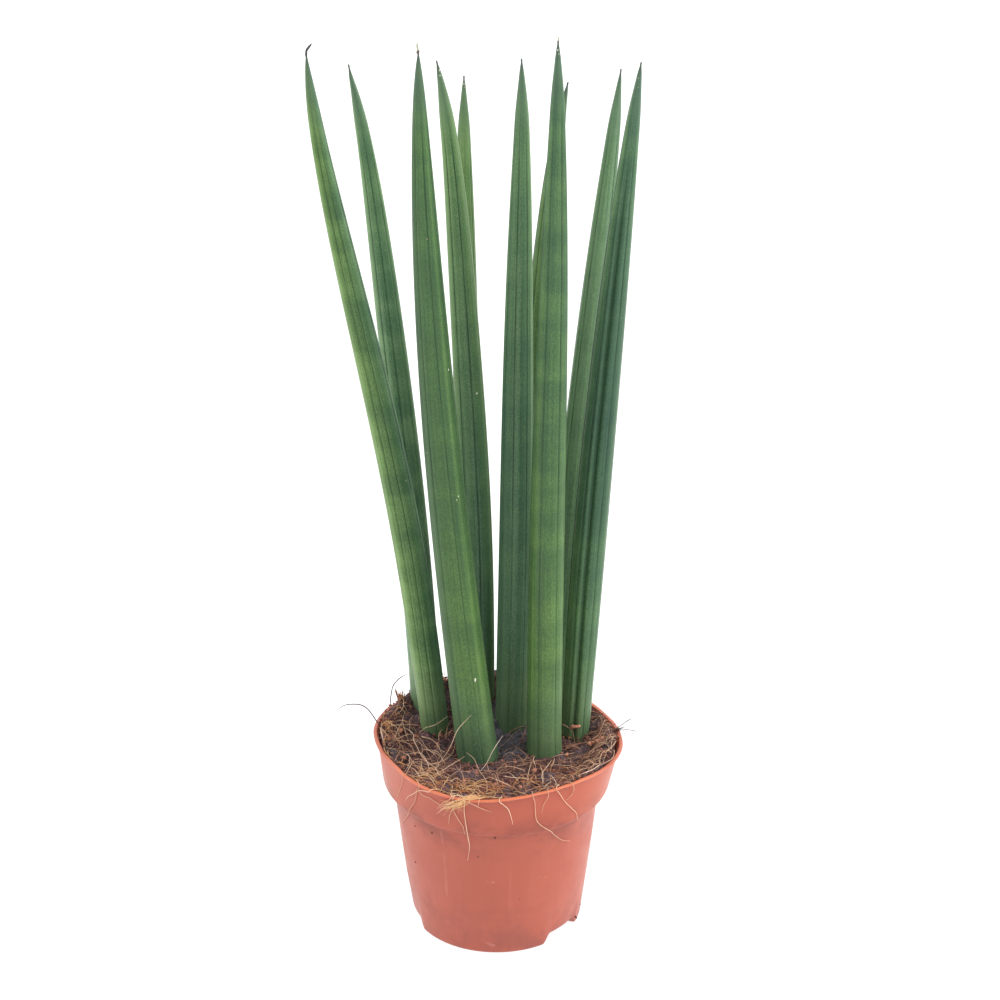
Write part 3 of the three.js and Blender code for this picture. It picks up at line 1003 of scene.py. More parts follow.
def make_leaf(index, name, look, material):
    look = {**PLAIN_LEAF, **look}
    draw = np.random.default_rng(LEAF_SEED + index)
    spine = Spine(name, look["tip_rise"])
    furrows = leaf_furrows(look, draw)
    azimuths = leaf_columns(furrows, look["ridges"])
    share = np.linspace(0, 1, LEAF_ROWS)[:-1]
    z = spine.foot + (spine.tip - spine.foot) * (1 - (1 - share) ** 1.5)
    span = spine.tip - SOIL_LEVEL
    tall, turn = np.meshgrid((z - SOIL_LEVEL) / span, azimuths, indexing="ij")
    thick = spine.radius(z)[:, None] + 0 * turn
    grid = LeafGrid(z, tall, turn, thick)
    sunk, dark, ridge = leaf_relief(grid, index, look, furrows, draw)
    oval = 1 + 0.015 * np.cos(np.radians(2 * (turn - 40 * index)))
    x, y = turned_to(np.radians(turn + look["twist"] * (tall - 0.5)), thick * oval - sunk)
    centre = spine.centre(z)
    x += centre[:, 0, None]
    y += centre[:, 1, None]
    points = np.stack([x, y, z[:, None] + 0 * turn], axis=-1).reshape(-1, 3)
    points = np.concatenate([points, [[spine.x[-1], spine.y[-1], spine.tip]]])
    faces, uvs = leaf_faces(*turn.shape)
    round_x, round_y = turned_to(np.radians(turn), LEAF_GIRTH)
    shift = LEAF_APART * index
    place = np.stack([round_x, -round_y, tall * span + shift], axis=-1).reshape(-1, 3)
    place = np.concatenate([place, [[0, 0, span + shift]]])
    piece = make_piece(
        "spear" + name.removeprefix("leaf"),
        points,
        faces,
        material,
        uvs=uvs,
        numbers=leaf_numbers(grid, look, span, dark, ridge),
        vectors={"leaf_place": place},
    )
    declare(piece, name)
    return spine


# Greens by how dark they are: yellowish ones; bluish ones, mixed in on leaves and sides in shade as
# painted shade; and the dull ones of a leaf's foot, also painted shade.
WARM_GREENS = {0.0: (122, 154, 82), 0.3: (92, 126, 57), 0.6: (66, 100, 47), 1.0: (40, 72, 40)}
BLUISH_GREENS = {0.0: (118, 150, 112), 0.3: (86, 121, 90), 0.6: (58, 95, 76), 1.0: (34, 70, 62)}
DULL_GREENS = {0.0: (128, 148, 107), 0.5: (96, 124, 89), 1.0: (60, 88, 69)}


def leaf_material():
    graph = Material("leaf_skin", roughness=0.42)
    graph.shader.inputs["Specular IOR Level"].default_value = 0.36
    place = graph.attribute("leaf_place").outputs["Vector"]
    # long soft zones, with finer streaks inside them
    zone = graph.noise(graph.scaled(place, (0.22, 0.22, 0.004)), detail=1)
    streak = graph.noise(graph.scaled(place, (1.1, 1.1, 0.02)), detail=3, roughness=0.6)
    # faint cross bands, wavy along their edges
    x, y, z = graph.axes(place)
    shifted = graph.joined(x, y, graph.plus(z, graph.times(streak, 7)))
    band = graph.noise(graph.scaled(shifted, (0.02, 0.02, 0.06)), detail=2, roughness=0.5)
    speckle = graph.noise(graph.scaled(place, (1.7, 1.7, 1.3)), detail=3, roughness=0.75)
    # how dark the green is; the flanks lighten it, partly as painted light, and leaf_shade darkens
    # the foot as painted shade
    depth = graph.number("leaf_tone")
    for value, low, high, start, end in (
        (graph.number("leaf_flank"), 0, 1, 0.0, -0.4),
        (zone, 0.35, 0.65, -0.07, 0.07),
        (streak, 0.32, 0.68, -0.07, 0.07),
        (speckle, 0.3, 0.7, -0.18, 0.18),
        (graph.number("leaf_shade"), 0, 1, 0.0, 0.12),
    ):
        depth = graph.plus(depth, graph.between(value, low, high, start, end))
    banded = graph.times(graph.between(band, 0.36, 0.64, -0.12, 0.12), graph.number("leaf_bands"))
    depth = graph.plus(depth, banded)
    # painted shade: bluer on the leaves and sides that lie in shade
    cool = graph.math("ADD", graph.number("leaf_cool"), 0.0, clamp=True)
    colour = graph.mix(cool, graph.ramp(depth, WARM_GREENS), graph.ramp(depth, BLUISH_GREENS))
    # dull and greyish at the foot, as painted shade, and greyish towards the tip
    dull = graph.ramp(depth, DULL_GREENS)
    colour = graph.mix(graph.times(graph.number("leaf_foot_shade"), 0.8), colour, dull)
    colour = graph.mix(graph.times(graph.number("leaf_tip"), 0.6), colour, (82, 104, 90))
    # painted shade: dark lines down the furrows and in the channel
    furrow = graph.math("MULTIPLY", graph.number("leaf_furrow"), 0.95, clamp=True)
    colour = graph.mix(furrow, colour, (12, 52, 26))
    # painted highlights along the ridges
    colour = graph.mix(graph.times(graph.number("leaf_ridge_highlight"), 0.4), colour, (150, 184, 120))
    colour = graph.mix(graph.times(graph.number("leaf_end"), 0.7), colour, (76, 78, 78))
    graph.colour(colour)
    graph.roughness(graph.between(streak, 0.3, 0.7, 0.36, 0.48))
    relief = graph.plus(graph.times(streak, 0.7), speckle)
    graph.bump(relief, 0.2, 0.14)
    return graph.material


# Dry threads on leaf tips: steps in millimetres from the tip, width and tint.
TIP_THREADS = {
    "leaf_far_left": (
        [(0.1, 0, -3), (0, 0, -0.8), (0.2, 0, 0.6), (1.2, 0, 2), (2.5, 0, 3.6)], 1.05, 0.0,
    ),
    "leaf_front_left": ([(0, 0, -2), (-0.1, 0, 0), (-0.4, 0, 1.8), (-0.4, 0, 3.2)], 0.8, 0.6),
    "leaf_front_right": ([(0, 0, -1.5), (0.1, 0, 0.4), (0.3, 0, 1.6)], 0.6, 0.6),
}
FLECK_THICKNESS = 0.3
# Flecks and scars on leaves: leaf, height (below nought it is counted down from the tip), azimuth,
# size along and across, tint.
LEAF_FLECKS = (
    ("leaf_front_left", 139.5, 24, 2.2, 0.9, 0.95),
    ("leaf_front_left", 298, 56, 1.0, 0.8, 0.95),
    ("leaf_centre_left", 270.5, 33, 1.1, 1.0, 0.9),
    ("leaf_front_left", 235.5, 41, 1.0, 0.5, 0.8),
    ("leaf_front_left", 234, 33, 0.7, 0.6, 0.7),
    ("leaf_front_left", 257, -55, 0.8, 0.4, 0.6),
    ("leaf_far_left", 232, 48, 0.8, 0.5, 0.7),
    ("leaf_front_left", -0.9, -20, 1.5, 1.5, 0.15),
    ("leaf_front_left", -0.6, 40, 1.2, 1.0, 0.3),
    ("leaf_centre_left", -4.4, 30, 0.9, 0.6, 0.9),
    ("leaf_centre_left", -6.6, 10, 0.7, 0.8, 0.75),
    ("leaf_rear_left", -3.8, 0, 0.7, 0.6, 0.9),
    ("leaf_rear_left", -5.2, 20, 0.6, 0.4, 0.75),
    ("leaf_front_right", -4.2, -10, 0.8, 0.6, 0.85),
    ("leaf_front_right", -5.8, 20, 0.6, 0.5, 0.7),
    ("leaf_far_right", -7, -20, 0.6, 0.4, 0.7),
    ("leaf_far_right", -11, 5, 0.5, 0.4, 0.6),
    ("leaf_far_right", -15, -25, 0.5, 0.4, 0.55),
    ("leaf_right_rear", 312, -8, 1.2, 0.5, 0.55),
    ("leaf_front_left", 361, 8, 0.9, 0.5, 0.45),
)


def dry_material():
    graph = Material("dry_leaf", roughness=0.8)
    grain = graph.noise(graph.object_place(), scale=900, detail=3)
    stops = {0.1: (66, 64, 68), 0.5: (128, 112, 98), 1.0: (220, 222, 196)}
    graph.colour(graph.ramp(graph.tint(grain, 0.25), stops))
    return graph.material


def make_tip_threads(spines, material):
    for name, (steps, width, tint) in TIP_THREADS.items():
        spine = spines[name]
        tip = np.array([spine.x[-1], spine.y[-1], spine.tip])
        part = strand(tip + np.array(steps), 18, width, tint, sides=6)
        gather("tip_thread" + name.removeprefix("leaf"), [part], material)


def make_leaf_flecks(spines, material):
    draw = np.random.default_rng(FLECK_SEED)
    points, faces = BALLS[2]
    parts = []
    for name, z, azimuth, length, width, tint in LEAF_FLECKS:
        spine = spines[name]
        z = z if z > 0 else spine.tip + z
        height = np.array([z])
        cx, cy = spine.centre(height)[0]
        a = math.radians(azimuth)
        x, y = turned_to(a, spine.radius(height)[0] - 0.05)
        rough = 1 + 0.1 * draw.normal(size=(len(points), 1))
        scale = np.array([width, FLECK_THICKNESS, length]) / 2 * rough
        turn = np.array([[math.cos(a), -math.sin(a), 0], [math.sin(a), math.cos(a), 0], [0, 0, 1]])
        parts.append(((points * scale) @ turn.T + (cx + x, cy + y, z), faces, tint))
    gather("leaf_flecks", parts, material)


# ---- potting mix --------------------------------------------------------------------------------

SOIL_RADIUS = COLLAR_TOP_RADIUS - WALL - 0.5
SOIL_SIDES = 360
# The surface's lumps, coarse to fine: the seed of each layer of noise, and its height.
SOIL_ROUGHNESS = ((1, 1.8), (2, 1.0), (4, 0.5))
HEAP_AZIMUTH = -122
# The bluish grey patch of painted shade among the leaves' feet: its middle, and how far out it starts
# to fade and has faded.
SHADE_CENTRE = (4, 6)
SHADE_REACH = (11, 27)
# Dark hollows in the surface: x, y, radius, depth.
HOLLOWS = ((3, 3, 8, 4.5), (44, -8, 3, 2.5), (-27, -18, 5, 2.5), (20, 8, 6, 3))


def soil_height(x, y):
    """The CAD's surface, with hollows and with a last heap against the rim at the back left."""
    back = smoothstep(y, -8, 40)
    left = 1 - smoothstep(x, 2, 34)
    radius = np.hypot(x, y)
    edge = 1 - 0.65 * smoothstep(radius, 49, 57)
    bank = smoothstep(radius, 38, 54) * (0.4 + 0.6 * smoothstep(y, -45, -5))
    bumps = np.sin(0.55 * x + 1.3) * np.sin(0.62 * y) + np.sin(0.31 * x - 0.4 * y)
    height = SOIL_LEVEL + MOUND_HEIGHT * back * left * edge + BANK_HEIGHT * bank + 0.35 * bumps
    for hollow_x, hollow_y, size, depth in HOLLOWS:
        away = np.hypot(x - hollow_x, y - hollow_y)
        height = height - depth * bell(away, size)
    turn = np.degrees(np.arctan2(x, -y))
    height = height + 0.4 * bell(turn - HEAP_AZIMUTH, 20) * smoothstep(radius, 44, 52)
    right = bell(wrapped(turn - 95), 75)
    height = height + 1.7 * bell(wrapped(turn - 74), 26) * smoothstep(radius, 44, 54)
    return height + (0.4 + 0.8 * right) * smoothstep(radius, 48, 55)


def pit_shade_mask(graph, place):
    """Where the mix is painted the bluish grey of shade: among the leaves' feet."""
    x, y, _ = graph.axes(place)
    across, along = (
        graph.math("POWER", graph.minus(value, middle * MM), 2)
        for value, middle in zip((x, y), SHADE_CENTRE)
    )
    away = graph.math("SQRT", graph.plus(across, along))
    dark, light = SHADE_REACH
    return graph.between(away, dark * MM, light * MM, 0.85, 0)


def soil_material():
    graph = Material("coir_mix", roughness=0.95)
    place = graph.object_place()
    large = graph.noise(place, scale=90, detail=3, roughness=0.6)
    small = graph.noise(place, scale=700, detail=4, roughness=0.7)
    colour = graph.ramp(small, {0.32: (47, 42, 50), 0.52: (86, 70, 74), 0.74: (146, 112, 106)})
    # reddish crumbs, most of them in front
    _, y, _ = graph.axes(place)
    front = graph.between(y, -0.01, -0.032, 0.35, 1)
    reddish = graph.times(front, graph.between(large, 0.4, 0.65, 0, 0.65))
    colour = graph.mix(reddish, colour, (118, 60, 44))
    # painted shade among the leaves' feet, in a bluish grey
    colour = graph.mix(pit_shade_mask(graph, place), colour, (114, 112, 120))
    graph.colour(colour)
    graph.bump(small, 0.7, 0.8)
    return graph.material


def make_soil():
    """One closed body: the crumbly surface, and plain sides down to the pot's floor."""
    radii = np.concatenate([np.linspace(0.4, 54, 84), np.linspace(54.6, SOIL_RADIUS, 6)])
    x, y, radius = circles(radii, SOIL_SIDES)
    flat = np.full(x.shape, SOIL_LEVEL, float)
    places = np.stack([x, y, flat], axis=-1)
    rough = sum(size * waves(places, seed, size * 2.6) for seed, size in SOIL_ROUGHNESS)
    top = bend_pot(x, y, flat)
    calm = 1 - 0.6 * smoothstep(radius, 53, SOIL_RADIUS)
    top[:, 2] = soil_height(x, y) + rough * calm
    lower_radii, heights = zip(
        (COLLAR_RADIUS - WALL - 0.6, COLLAR_FOOT + 2 * WALL),
        (SHOULDER_RADIUS - WALL - 0.4, COLLAR_FOOT + WALL),
        (NOTCH_TOP_RADIUS - WALL - 0.4, NOTCH_TOP),
        (BASE_RADIUS - WALL - 1, FLOOR + 0.4),
        (RISER_FOOT_RADIUS, FLOOR + 0.4),
    )
    x, y, _ = circles(lower_radii, SOIL_SIDES)
    lower = bend_pot(x, y, np.repeat(heights, SOIL_SIDES))
    rows = len(radii) + len(heights)
    faces, _ = sheet_faces(rows, SOIL_SIDES)
    faces = [face[::-1] for face in (*faces.tolist(), *end_caps(rows, SOIL_SIDES))]
    piece = make_piece("coir_mix", np.concatenate([top, lower]), faces, soil_material())
    declare(piece, "potting_mix")


def leaf_feet(spines):
    """x, y and radius of each leaf where it leaves the mix."""
    feet = []
    for spine in spines.values():
        height = np.array([SOIL_LEVEL])
        for _ in range(3):
            cx, cy = spine.centre(height)[0]
            height = np.array([float(soil_height(cx, cy)) + 1.5])
        feet.append((cx, cy, spine.radius(height)[0]))
    return np.array(feet)


def clear_of_leaves(x, y, room, feet):
    return bool((np.hypot(feet[:, 0] - x, feet[:, 1] - y) > feet[:, 2] + room).all())


def crumb_material():
    graph = Material("coir_crumbs", roughness=0.95)
    place = graph.object_place()
    grain = graph.noise(place, scale=1400, detail=3, roughness=0.7)
    stops = {0.1: (46, 38, 42), 0.45: (90, 64, 60), 0.75: (144, 97, 82), 1.0: (206, 140, 112)}
    colour = graph.ramp(graph.tint(grain, 0.3), stops)
    # with the same painted shade among the leaves' feet
    graph.colour(graph.mix(pit_shade_mask(graph, place), colour, (104, 102, 108)))
    graph.bump(grain, 0.5, 0.3)
    return graph.material


# How many crumbs there are all over, round each leaf, along the wall, and spilt on the lip.
CRUMBS = 3600
CRUMBS_BY_LEAF = 34
CRUMBS_BY_WALL = 420
CRUMBS_ON_LIP = 20
# Lumps that make up two torn flakes: one caught against the far right leaf, one on the fibres
# beside it.
FLAKE_LUMPS = (
    (36.9, 3.1, 101), (38.4, 2.9, 101.3), (40, 3.1, 101.2),
    (45.2, -4.4, 95.9), (46.9, -4.4, 96.5), (48.6, -4.3, 97), (50.2, -3.9, 97.2), (51.4, -3, 97.8),
)


def make_crumbs(feet, material):
    draw = np.random.default_rng(CRUMB_SEED)
    parts = []
    while len(parts) < CRUMBS:
        radius = SOIL_RADIUS * 0.985 * math.sqrt(draw.uniform())
        x, y = turned_to(draw.uniform(-math.pi, math.pi), radius)
        size = min(1.6, 0.38 * draw.lognormal(0, 0.5))
        tint = draw.beta(1.6, 2.2)
        if not clear_of_leaves(x, y, size, feet):
            continue
        z = float(soil_height(x, y)) + draw.uniform(-0.2, 0.9)
        level = 2 if size > 0.8 else 1
        parts.append((*lump(draw, level, size, (x, y, z)), tint))

    def drop(x, y, size, lift):
        z = float(soil_height(x, y)) + lift
        parts.append((*lump(draw, 1, size, (x, y, z)), draw.beta(1.6, 2.4)))

    # a collar of crumbs pressed round each leaf
    for foot_x, foot_y, foot_radius in feet:
        for _ in range(CRUMBS_BY_LEAF):
            size = draw.uniform(0.35, 0.95)
            dx, dy = turned_to(draw.uniform(-math.pi, math.pi), foot_radius + 0.6 * size)
            drop(foot_x + dx, foot_y + dy, size, draw.uniform(0.1, 1.6))
    # small crumbs along the wall
    for azimuth in draw.uniform(-180, 180, CRUMBS_BY_WALL):
        x, y, _ = on_wall(azimuth, POT_HEIGHT, draw.uniform(-4.6, -2))
        drop(x, y, draw.uniform(0.22, 0.6), draw.uniform(0.1, 0.9))
    # crumbs spilt on the lip, beside the heap
    for _ in range(CRUMBS_ON_LIP):
        azimuth = draw.normal(HEAP_AZIMUTH, 8)
        x, y, _ = on_wall(azimuth, POT_HEIGHT, draw.uniform(-4.2, -0.8))
        size = draw.uniform(0.3, 0.9)
        z = POT_HEIGHT + 0.5 * size + draw.uniform(0, 1.2)
        parts.append((*lump(draw, 1, size, (x, y, z)), draw.beta(1.8, 2)))
    for place in FLAKE_LUMPS:
        parts.append((*lump(draw, 2, draw.uniform(1.1, 1.5), place), draw.uniform(0.72, 0.92)))
    gather("coir_crumbs", parts, material)


def make_husk(material):
    """The four loose chips of husk: flat, torn flakes."""
    for index, node in enumerate(sorted(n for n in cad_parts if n.startswith("husk_chip"))):
        low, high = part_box(node)
        centre = np.array((low + high) / 2) / MM
        half = np.array((high - low) / 2) / MM
        points, faces = BALLS[4]
        torn = np.sign(points) * np.abs(points) ** 0.8
        ridges = 1 + 0.12 * np.sin(9 * points[:, 1] + 3 * np.sin(4 * points[:, 0]))
        wear = 1 + 0.3 * waves(2 * points, 50 + index, 1.1)
        shaped = torn * half * (0.92, 0.92, 0.62) * (ridges * wear)[:, None]
        shaped[:, 2] += 0.25 * half[2] * np.sin(2 * points[:, 0])
        shaped = np.clip(shaped, -half, half)
        name = node.replace("chip", "flake")
        gather(name, [(shaped + centre, faces, 0.62)], material, node=node)


# ---- coir fibres --------------------------------------------------------------------------------

FIBRE_POINTS = 12

# Loose fibres on the mix. region: lowest and highest azimuth, inner and outer radius. length, width
# and tint: from the least to the most. curl: how much they wander. lift: how high they arch. over:
# how far they may reach across the lip.
Bed = namedtuple(
    "Bed", "name seed strands region length width tint curl lift over golden", defaults=(False,)
)
FIBRE_BEDS = (
    Bed("dust", 21, 900, (-180, 180, 14, 57), (2, 6), (0.13, 0.2), (0.05, 0.5), 0.16, 0.6, 0),
    Bed("brown", 22, 190, (-180, 180, 8, 57), (4, 14), (0.17, 0.26), (0.2, 0.7), 0.1, 1.2, 0.5),
    Bed("pale", 23, 44, (-180, 180, 10, 56), (10, 26), (0.16, 0.25), (0.5, 0.85), 0.08, 2, 1),
    Bed("left", 28, 40, (-110, -40, 28, 56), (7, 24), (0.2, 0.31), (0.45, 0.85), 0.09, 1.8, 0.6),
    Bed(
        "front_left", 24, 72, (-50, -6, 46, 57), (6, 17), (0.17, 0.27), (0.35, 0.92), 0.08, 2.2, 1.4,
        golden=True,
    ),
    Bed("front", 25, 54, (-8, 55, 38, 57), (5, 17), (0.17, 0.27), (0.28, 0.85), 0.08, 2.2, 1, True),
    Bed(
        "left_rim", 26, 40, (-112, -60, 52, 58), (3, 10), (0.2, 0.3), (0.45, 0.85), 0.14, 1.4, 1.6,
        golden=True,
    ),
    Bed(
        "right_rim", 27, 110, (42, 108, 51, 58.8), (4, 12), (0.14, 0.23), (0.3, 0.8), 0.06, 1.5, 2.2,
    ),
)
# More paths are tried than a bed has strands, since many of them run into something.
PATHS_PER_STRAND = 6

# Colours of the fibres by tint.
PINKISH = {
    0.1: (72, 52, 50), 0.35: (144, 97, 78), 0.6: (208, 156, 122), 0.8: (234, 194, 160),
    1.0: (245, 225, 203),
}
GOLDEN = {
    0.1: (70, 44, 34), 0.35: (143, 81, 50), 0.6: (208, 136, 82), 0.8: (237, 180, 118),
    1.0: (247, 215, 170),
}


def fibre_material(name, colours):
    graph = Material(name, roughness=0.6)
    shade = graph.noise(graph.object_place(), scale=160)
    graph.colour(graph.ramp(graph.tint(shade, 0.12), colours))
    return graph.material


def ground_paths(draw, start, length, bed, feet):
    """Paths that wander over the mix from the starts.

    A path is dropped where it would run into a leaf, or farther out than the bed may reach.
    """
    count = len(start)
    place = start.copy()
    heading = draw.uniform(0, 2 * math.pi, count)
    bend = draw.normal(0, bed.curl, count)
    base = draw.uniform(0.3, 1.3, count)
    rise = np.abs(draw.normal(0, bed.lift, count))
    step = length / (FIBRE_POINTS - 1)
    clear = np.full(count, True)
    paths = []
    for share in np.linspace(0, 1, FIBRE_POINTS):
        for foot in feet:
            clear &= np.hypot(*(place - foot[:2]).T) > foot[2] + 0.3
        reach = np.hypot(*place.T)
        wall = SOIL_RADIUS - 0.3 + band_swell(*place.T, SOIL_LEVEL)
        clear &= reach < wall + bed.over
        on_lip = smoothstep(reach, wall - 0.8, wall + 0.3)
        z = soil_height(*place.T) + base + rise * math.sin(math.pi * share) ** 1.3
        paths.append(np.column_stack([place, np.maximum(z, on_lip * (POT_HEIGHT + 0.3))]))
        bend = 0.9 * bend + draw.normal(0, 0.35 * bed.curl, count)
        heading = heading + bend * step
        place = place + step[:, None] * np.stack([np.cos(heading), np.sin(heading)], axis=-1)
    return np.stack(paths, axis=1)[clear]


def make_fibre_bed(bed, feet, material):
    draw = np.random.default_rng(bed.seed)
    count = PATHS_PER_STRAND * bed.strands
    first, last, inner, outer = bed.region
    azimuth = np.radians(draw.uniform(first, last, count))
    radius = np.sqrt(draw.uniform(inner**2, outer**2, count))
    start = np.stack(turned_to(azimuth, radius), axis=-1)
    paths = ground_paths(draw, start, draw.uniform(*bed.length, count), bed, feet)
    sides = 3 if max(bed.width) < 0.27 else 4
    parts = [
        (*tube(path, draw.uniform(*bed.width) / 2, sides), draw.uniform(*bed.tint))
        for path in paths[: bed.strands]
    ]
    gather("fibres_" + bed.name, parts, material)


# Strands over the rim, each as (azimuth, height) down the outside of the pot, and its width.
RIM_STRANDS = (
    (((-50.8, 97), (-52.9, 92.4), (-55.7, 86.6), (-58.6, 79.7)), 0.2),
    (((-31.5, 97), (-34.4, 96.4), (-39, 93.9), (-44.3, 89.3), (-48.4, 85.7), (-50.2, 82.7)), 0.42),
    (((-38.8, 96.4), (-41.3, 91.8), (-42.5, 86.8), (-46.1, 80.8), (-59.2, 67.6), (-72.1, 56.7)), 0.3),
    (((-39, 94), (-37.7, 92.3), (-32.6, 92.1), (-27, 90.8), (-22.2, 90.3)), 0.3),
    (((-20.5, 97), (-24.2, 93.4), (-28.8, 87.6)), 0.34),
    (((-19.4, 96.3), (-24.3, 90), (-29, 84.7)), 0.34),
    (((-20.1, 92.9), (-22.3, 89.4), (-25.4, 84.8)), 0.22),
    (((-20.2, 90.5), (-21.9, 86.1), (-22.7, 80.7)), 0.3),
    (((-20.2, 90), (-17.3, 84.1), (-15.7, 81.2), (-14.8, 76.8)), 0.32),
    (((-13.9, 96.4), (-14.7, 90.9), (-14.3, 83.9), (-13.4, 76.5), (-14.9, 63.4), (-16, 56.8)), 0.36),
    (((-12.1, 97), (-8.8, 93.8), (-2.1, 90.2)), 0.26),
    (((-7.7, 97), (-8, 95), (-8.4, 93.5)), 0.24),
    (((1.4, 97), (3.5, 94.2), (5.6, 91.1), (6.9, 86.9), (7.7, 83)), 0.34),
    (
        (
            (17.4, 96.4), (18.4, 93.7), (18.7, 88.9), (19.3, 83.1), (21.7, 79.9), (24.4, 77.7),
            (33.9, 67.1), (37.7, 63.7), (45.9, 59.4),
        ),
        0.36,
    ),
    (((25.4, 96.4), (25.4, 93.5), (23.5, 90.6), (21.6, 85.9)), 0.18),
    (((30.1, 96.8), (32.5, 92.8), (34.6, 89.1), (38.7, 83.7), (41.2, 80.5), (41.6, 76.6)), 0.32),
    (((39.2, 96.4), (39.8, 92.1), (35.5, 88.8)), 0.3),
)


def rim_strand(draw, waypoints, width):
    """It starts in the mix, rises over the lip and hangs down the outside."""
    azimuth = waypoints[0][0]
    inward = azimuth + draw.uniform(-4, 4)
    inside = ((-9, SOIL_LEVEL + 1.6), (-5, SOIL_LEVEL + 3), (-2.2, POT_HEIGHT + 0.5))
    path = [raised(on_wall(inward, POT_HEIGHT, back), z) for back, z in inside]
    path.append(on_wall(azimuth, POT_HEIGHT, -0.6) + (0, 0, 0.5))
    for i, (turn, z) in enumerate(waypoints):
        gap = 0.2 + width + 0.25 * (i % 2)
        overhang = max(0.0, RIM_RADIUS - float(wall_radius(z)) - 0.4 * (POT_HEIGHT - z))
        path.append(on_wall(turn, min(z, POT_HEIGHT), gap + overhang))
    return strand(path, 14 + 4 * len(waypoints), width, draw.uniform(0.62, 0.82), sides=5)


def make_rim_strands(material):
    draw = np.random.default_rng(RIM_SEED)
    gather("rim_strands", [rim_strand(draw, *row) for row in RIM_STRANDS], material)


# The brush of fibres on the lip: how many there are, and where they are pinched together.
TUFT_STRANDS = 52
TUFT_AZIMUTH = -14.8


def make_rim_tuft(material):
    """A golden brush of fibres caught on the lip at the front left."""
    draw = np.random.default_rng(TUFT_SEED)
    parts = []
    for index in range(TUFT_STRANDS):
        start = draw.uniform(-14, -9) if index % 4 else draw.uniform(-9, 4)
        end = draw.uniform(-27, -15)
        knot = draw.normal(TUFT_AZIMUTH, 1.3)
        path = [
            raised(on_wall(azimuth, min(z, POT_HEIGHT), stand_off), z)
            for azimuth, stand_off, z in (
                (start, draw.uniform(-6.5, -2.2), draw.uniform(95.2, 98)),
                ((start + knot) / 2, draw.uniform(-2.4, -0.3), draw.uniform(97.2, 98.4)),
                (knot, draw.uniform(0.2, 1.2), draw.uniform(95.2, 97.4)),
                (end, draw.uniform(1.6, 3), draw.uniform(88.8, 94.5)),
            )
        ]
        parts.append(strand(path, 14, draw.uniform(0.13, 0.23), draw.uniform(0.62, 0.98)))
    gather("rim_tuft", parts, material)


# Strands that stand clear of the mix, as points in millimetres, with their width and tint.
FREE_STRANDS = (
    (
        (
            (-52, 21, 98), (-52.2, 23, 101), (-52.4, 24, 104.3), (-51.9, 24, 108.2),
            (-50.8, 25, 112.2), (-48.8, 26, 114.4), (-46.6, 27, 115.8), (-43.9, 28, 116.7),
        ),
        0.52, 0.1,
    ),
    (
        (
            (-54, 9, 94), (-58.4, 8, 101), (-61, 7, 106.2), (-63, 6, 109.6), (-65.4, 5, 111.9),
            (-70.1, 3, 113.6), (-73.4, 2, 113.7), (-76.7, 0, 112.6),
        ),
        0.55, 0.08,
    ),
    (
        (
            (-30, -25, 94), (-25.5, -23, 98.7), (-21.1, -26, 108.7), (-18.7, -25, 114.7),
            (-12, -22, 121.7),
        ),
        0.26, 0.78,
    ),
    (((-8, -27, 93.5), (-5.4, -24.5, 95.5), (-1.6, -22.5, 102.6), (3.2, -17, 107.9)), 0.28, 0.9),
    (
        (
            (-14.5, -22.5, 101.5), (-10.7, -24, 99), (-8.8, -26, 95), (-5, -36, 94.5),
            (-4.4, -51, 95.8),
        ),
        0.26, 0.78,
    ),
    (((-33, -34, 93.5), (-25.4, -30, 96.3), (-15, -23, 99.8)), 0.24, 0.78),
    (((-38, -2, 100), (-34.6, -3, 103.8), (-30, -5, 106.5), (-23.4, -3, 110.4)), 0.22, 0.75),
    (((55, 10, 97), (60.5, 8, 101), (66, 6, 103.6), (73, 5, 104.6)), 0.13, 0.3),
    (
        ((31.6, 1, 103.8), (34, 2, 102), (36, 2.6, 100), (37.4, 2.2, 97.6), (38.3, 0.6, 92.5)),
        0.17, 0.7,
    ),
    (((-49, 22, 98), (-53, 21, 101.5), (-56.5, 20, 105)), 0.16, 0.2),
    (((-52, 14, 96), (-57.6, 13, 100.6), (-61, 12, 104.6)), 0.14, 0.3),
)


def make_free_strands(material):
    parts = [strand(points, 22, width, tint, sides=5) for points, width, tint in FREE_STRANDS]
    gather("free_strands", parts, material)


# A ground strand's radius, as a share of the greatest width that its row gives.
GROUND_STRAND_SHARE = 0.47
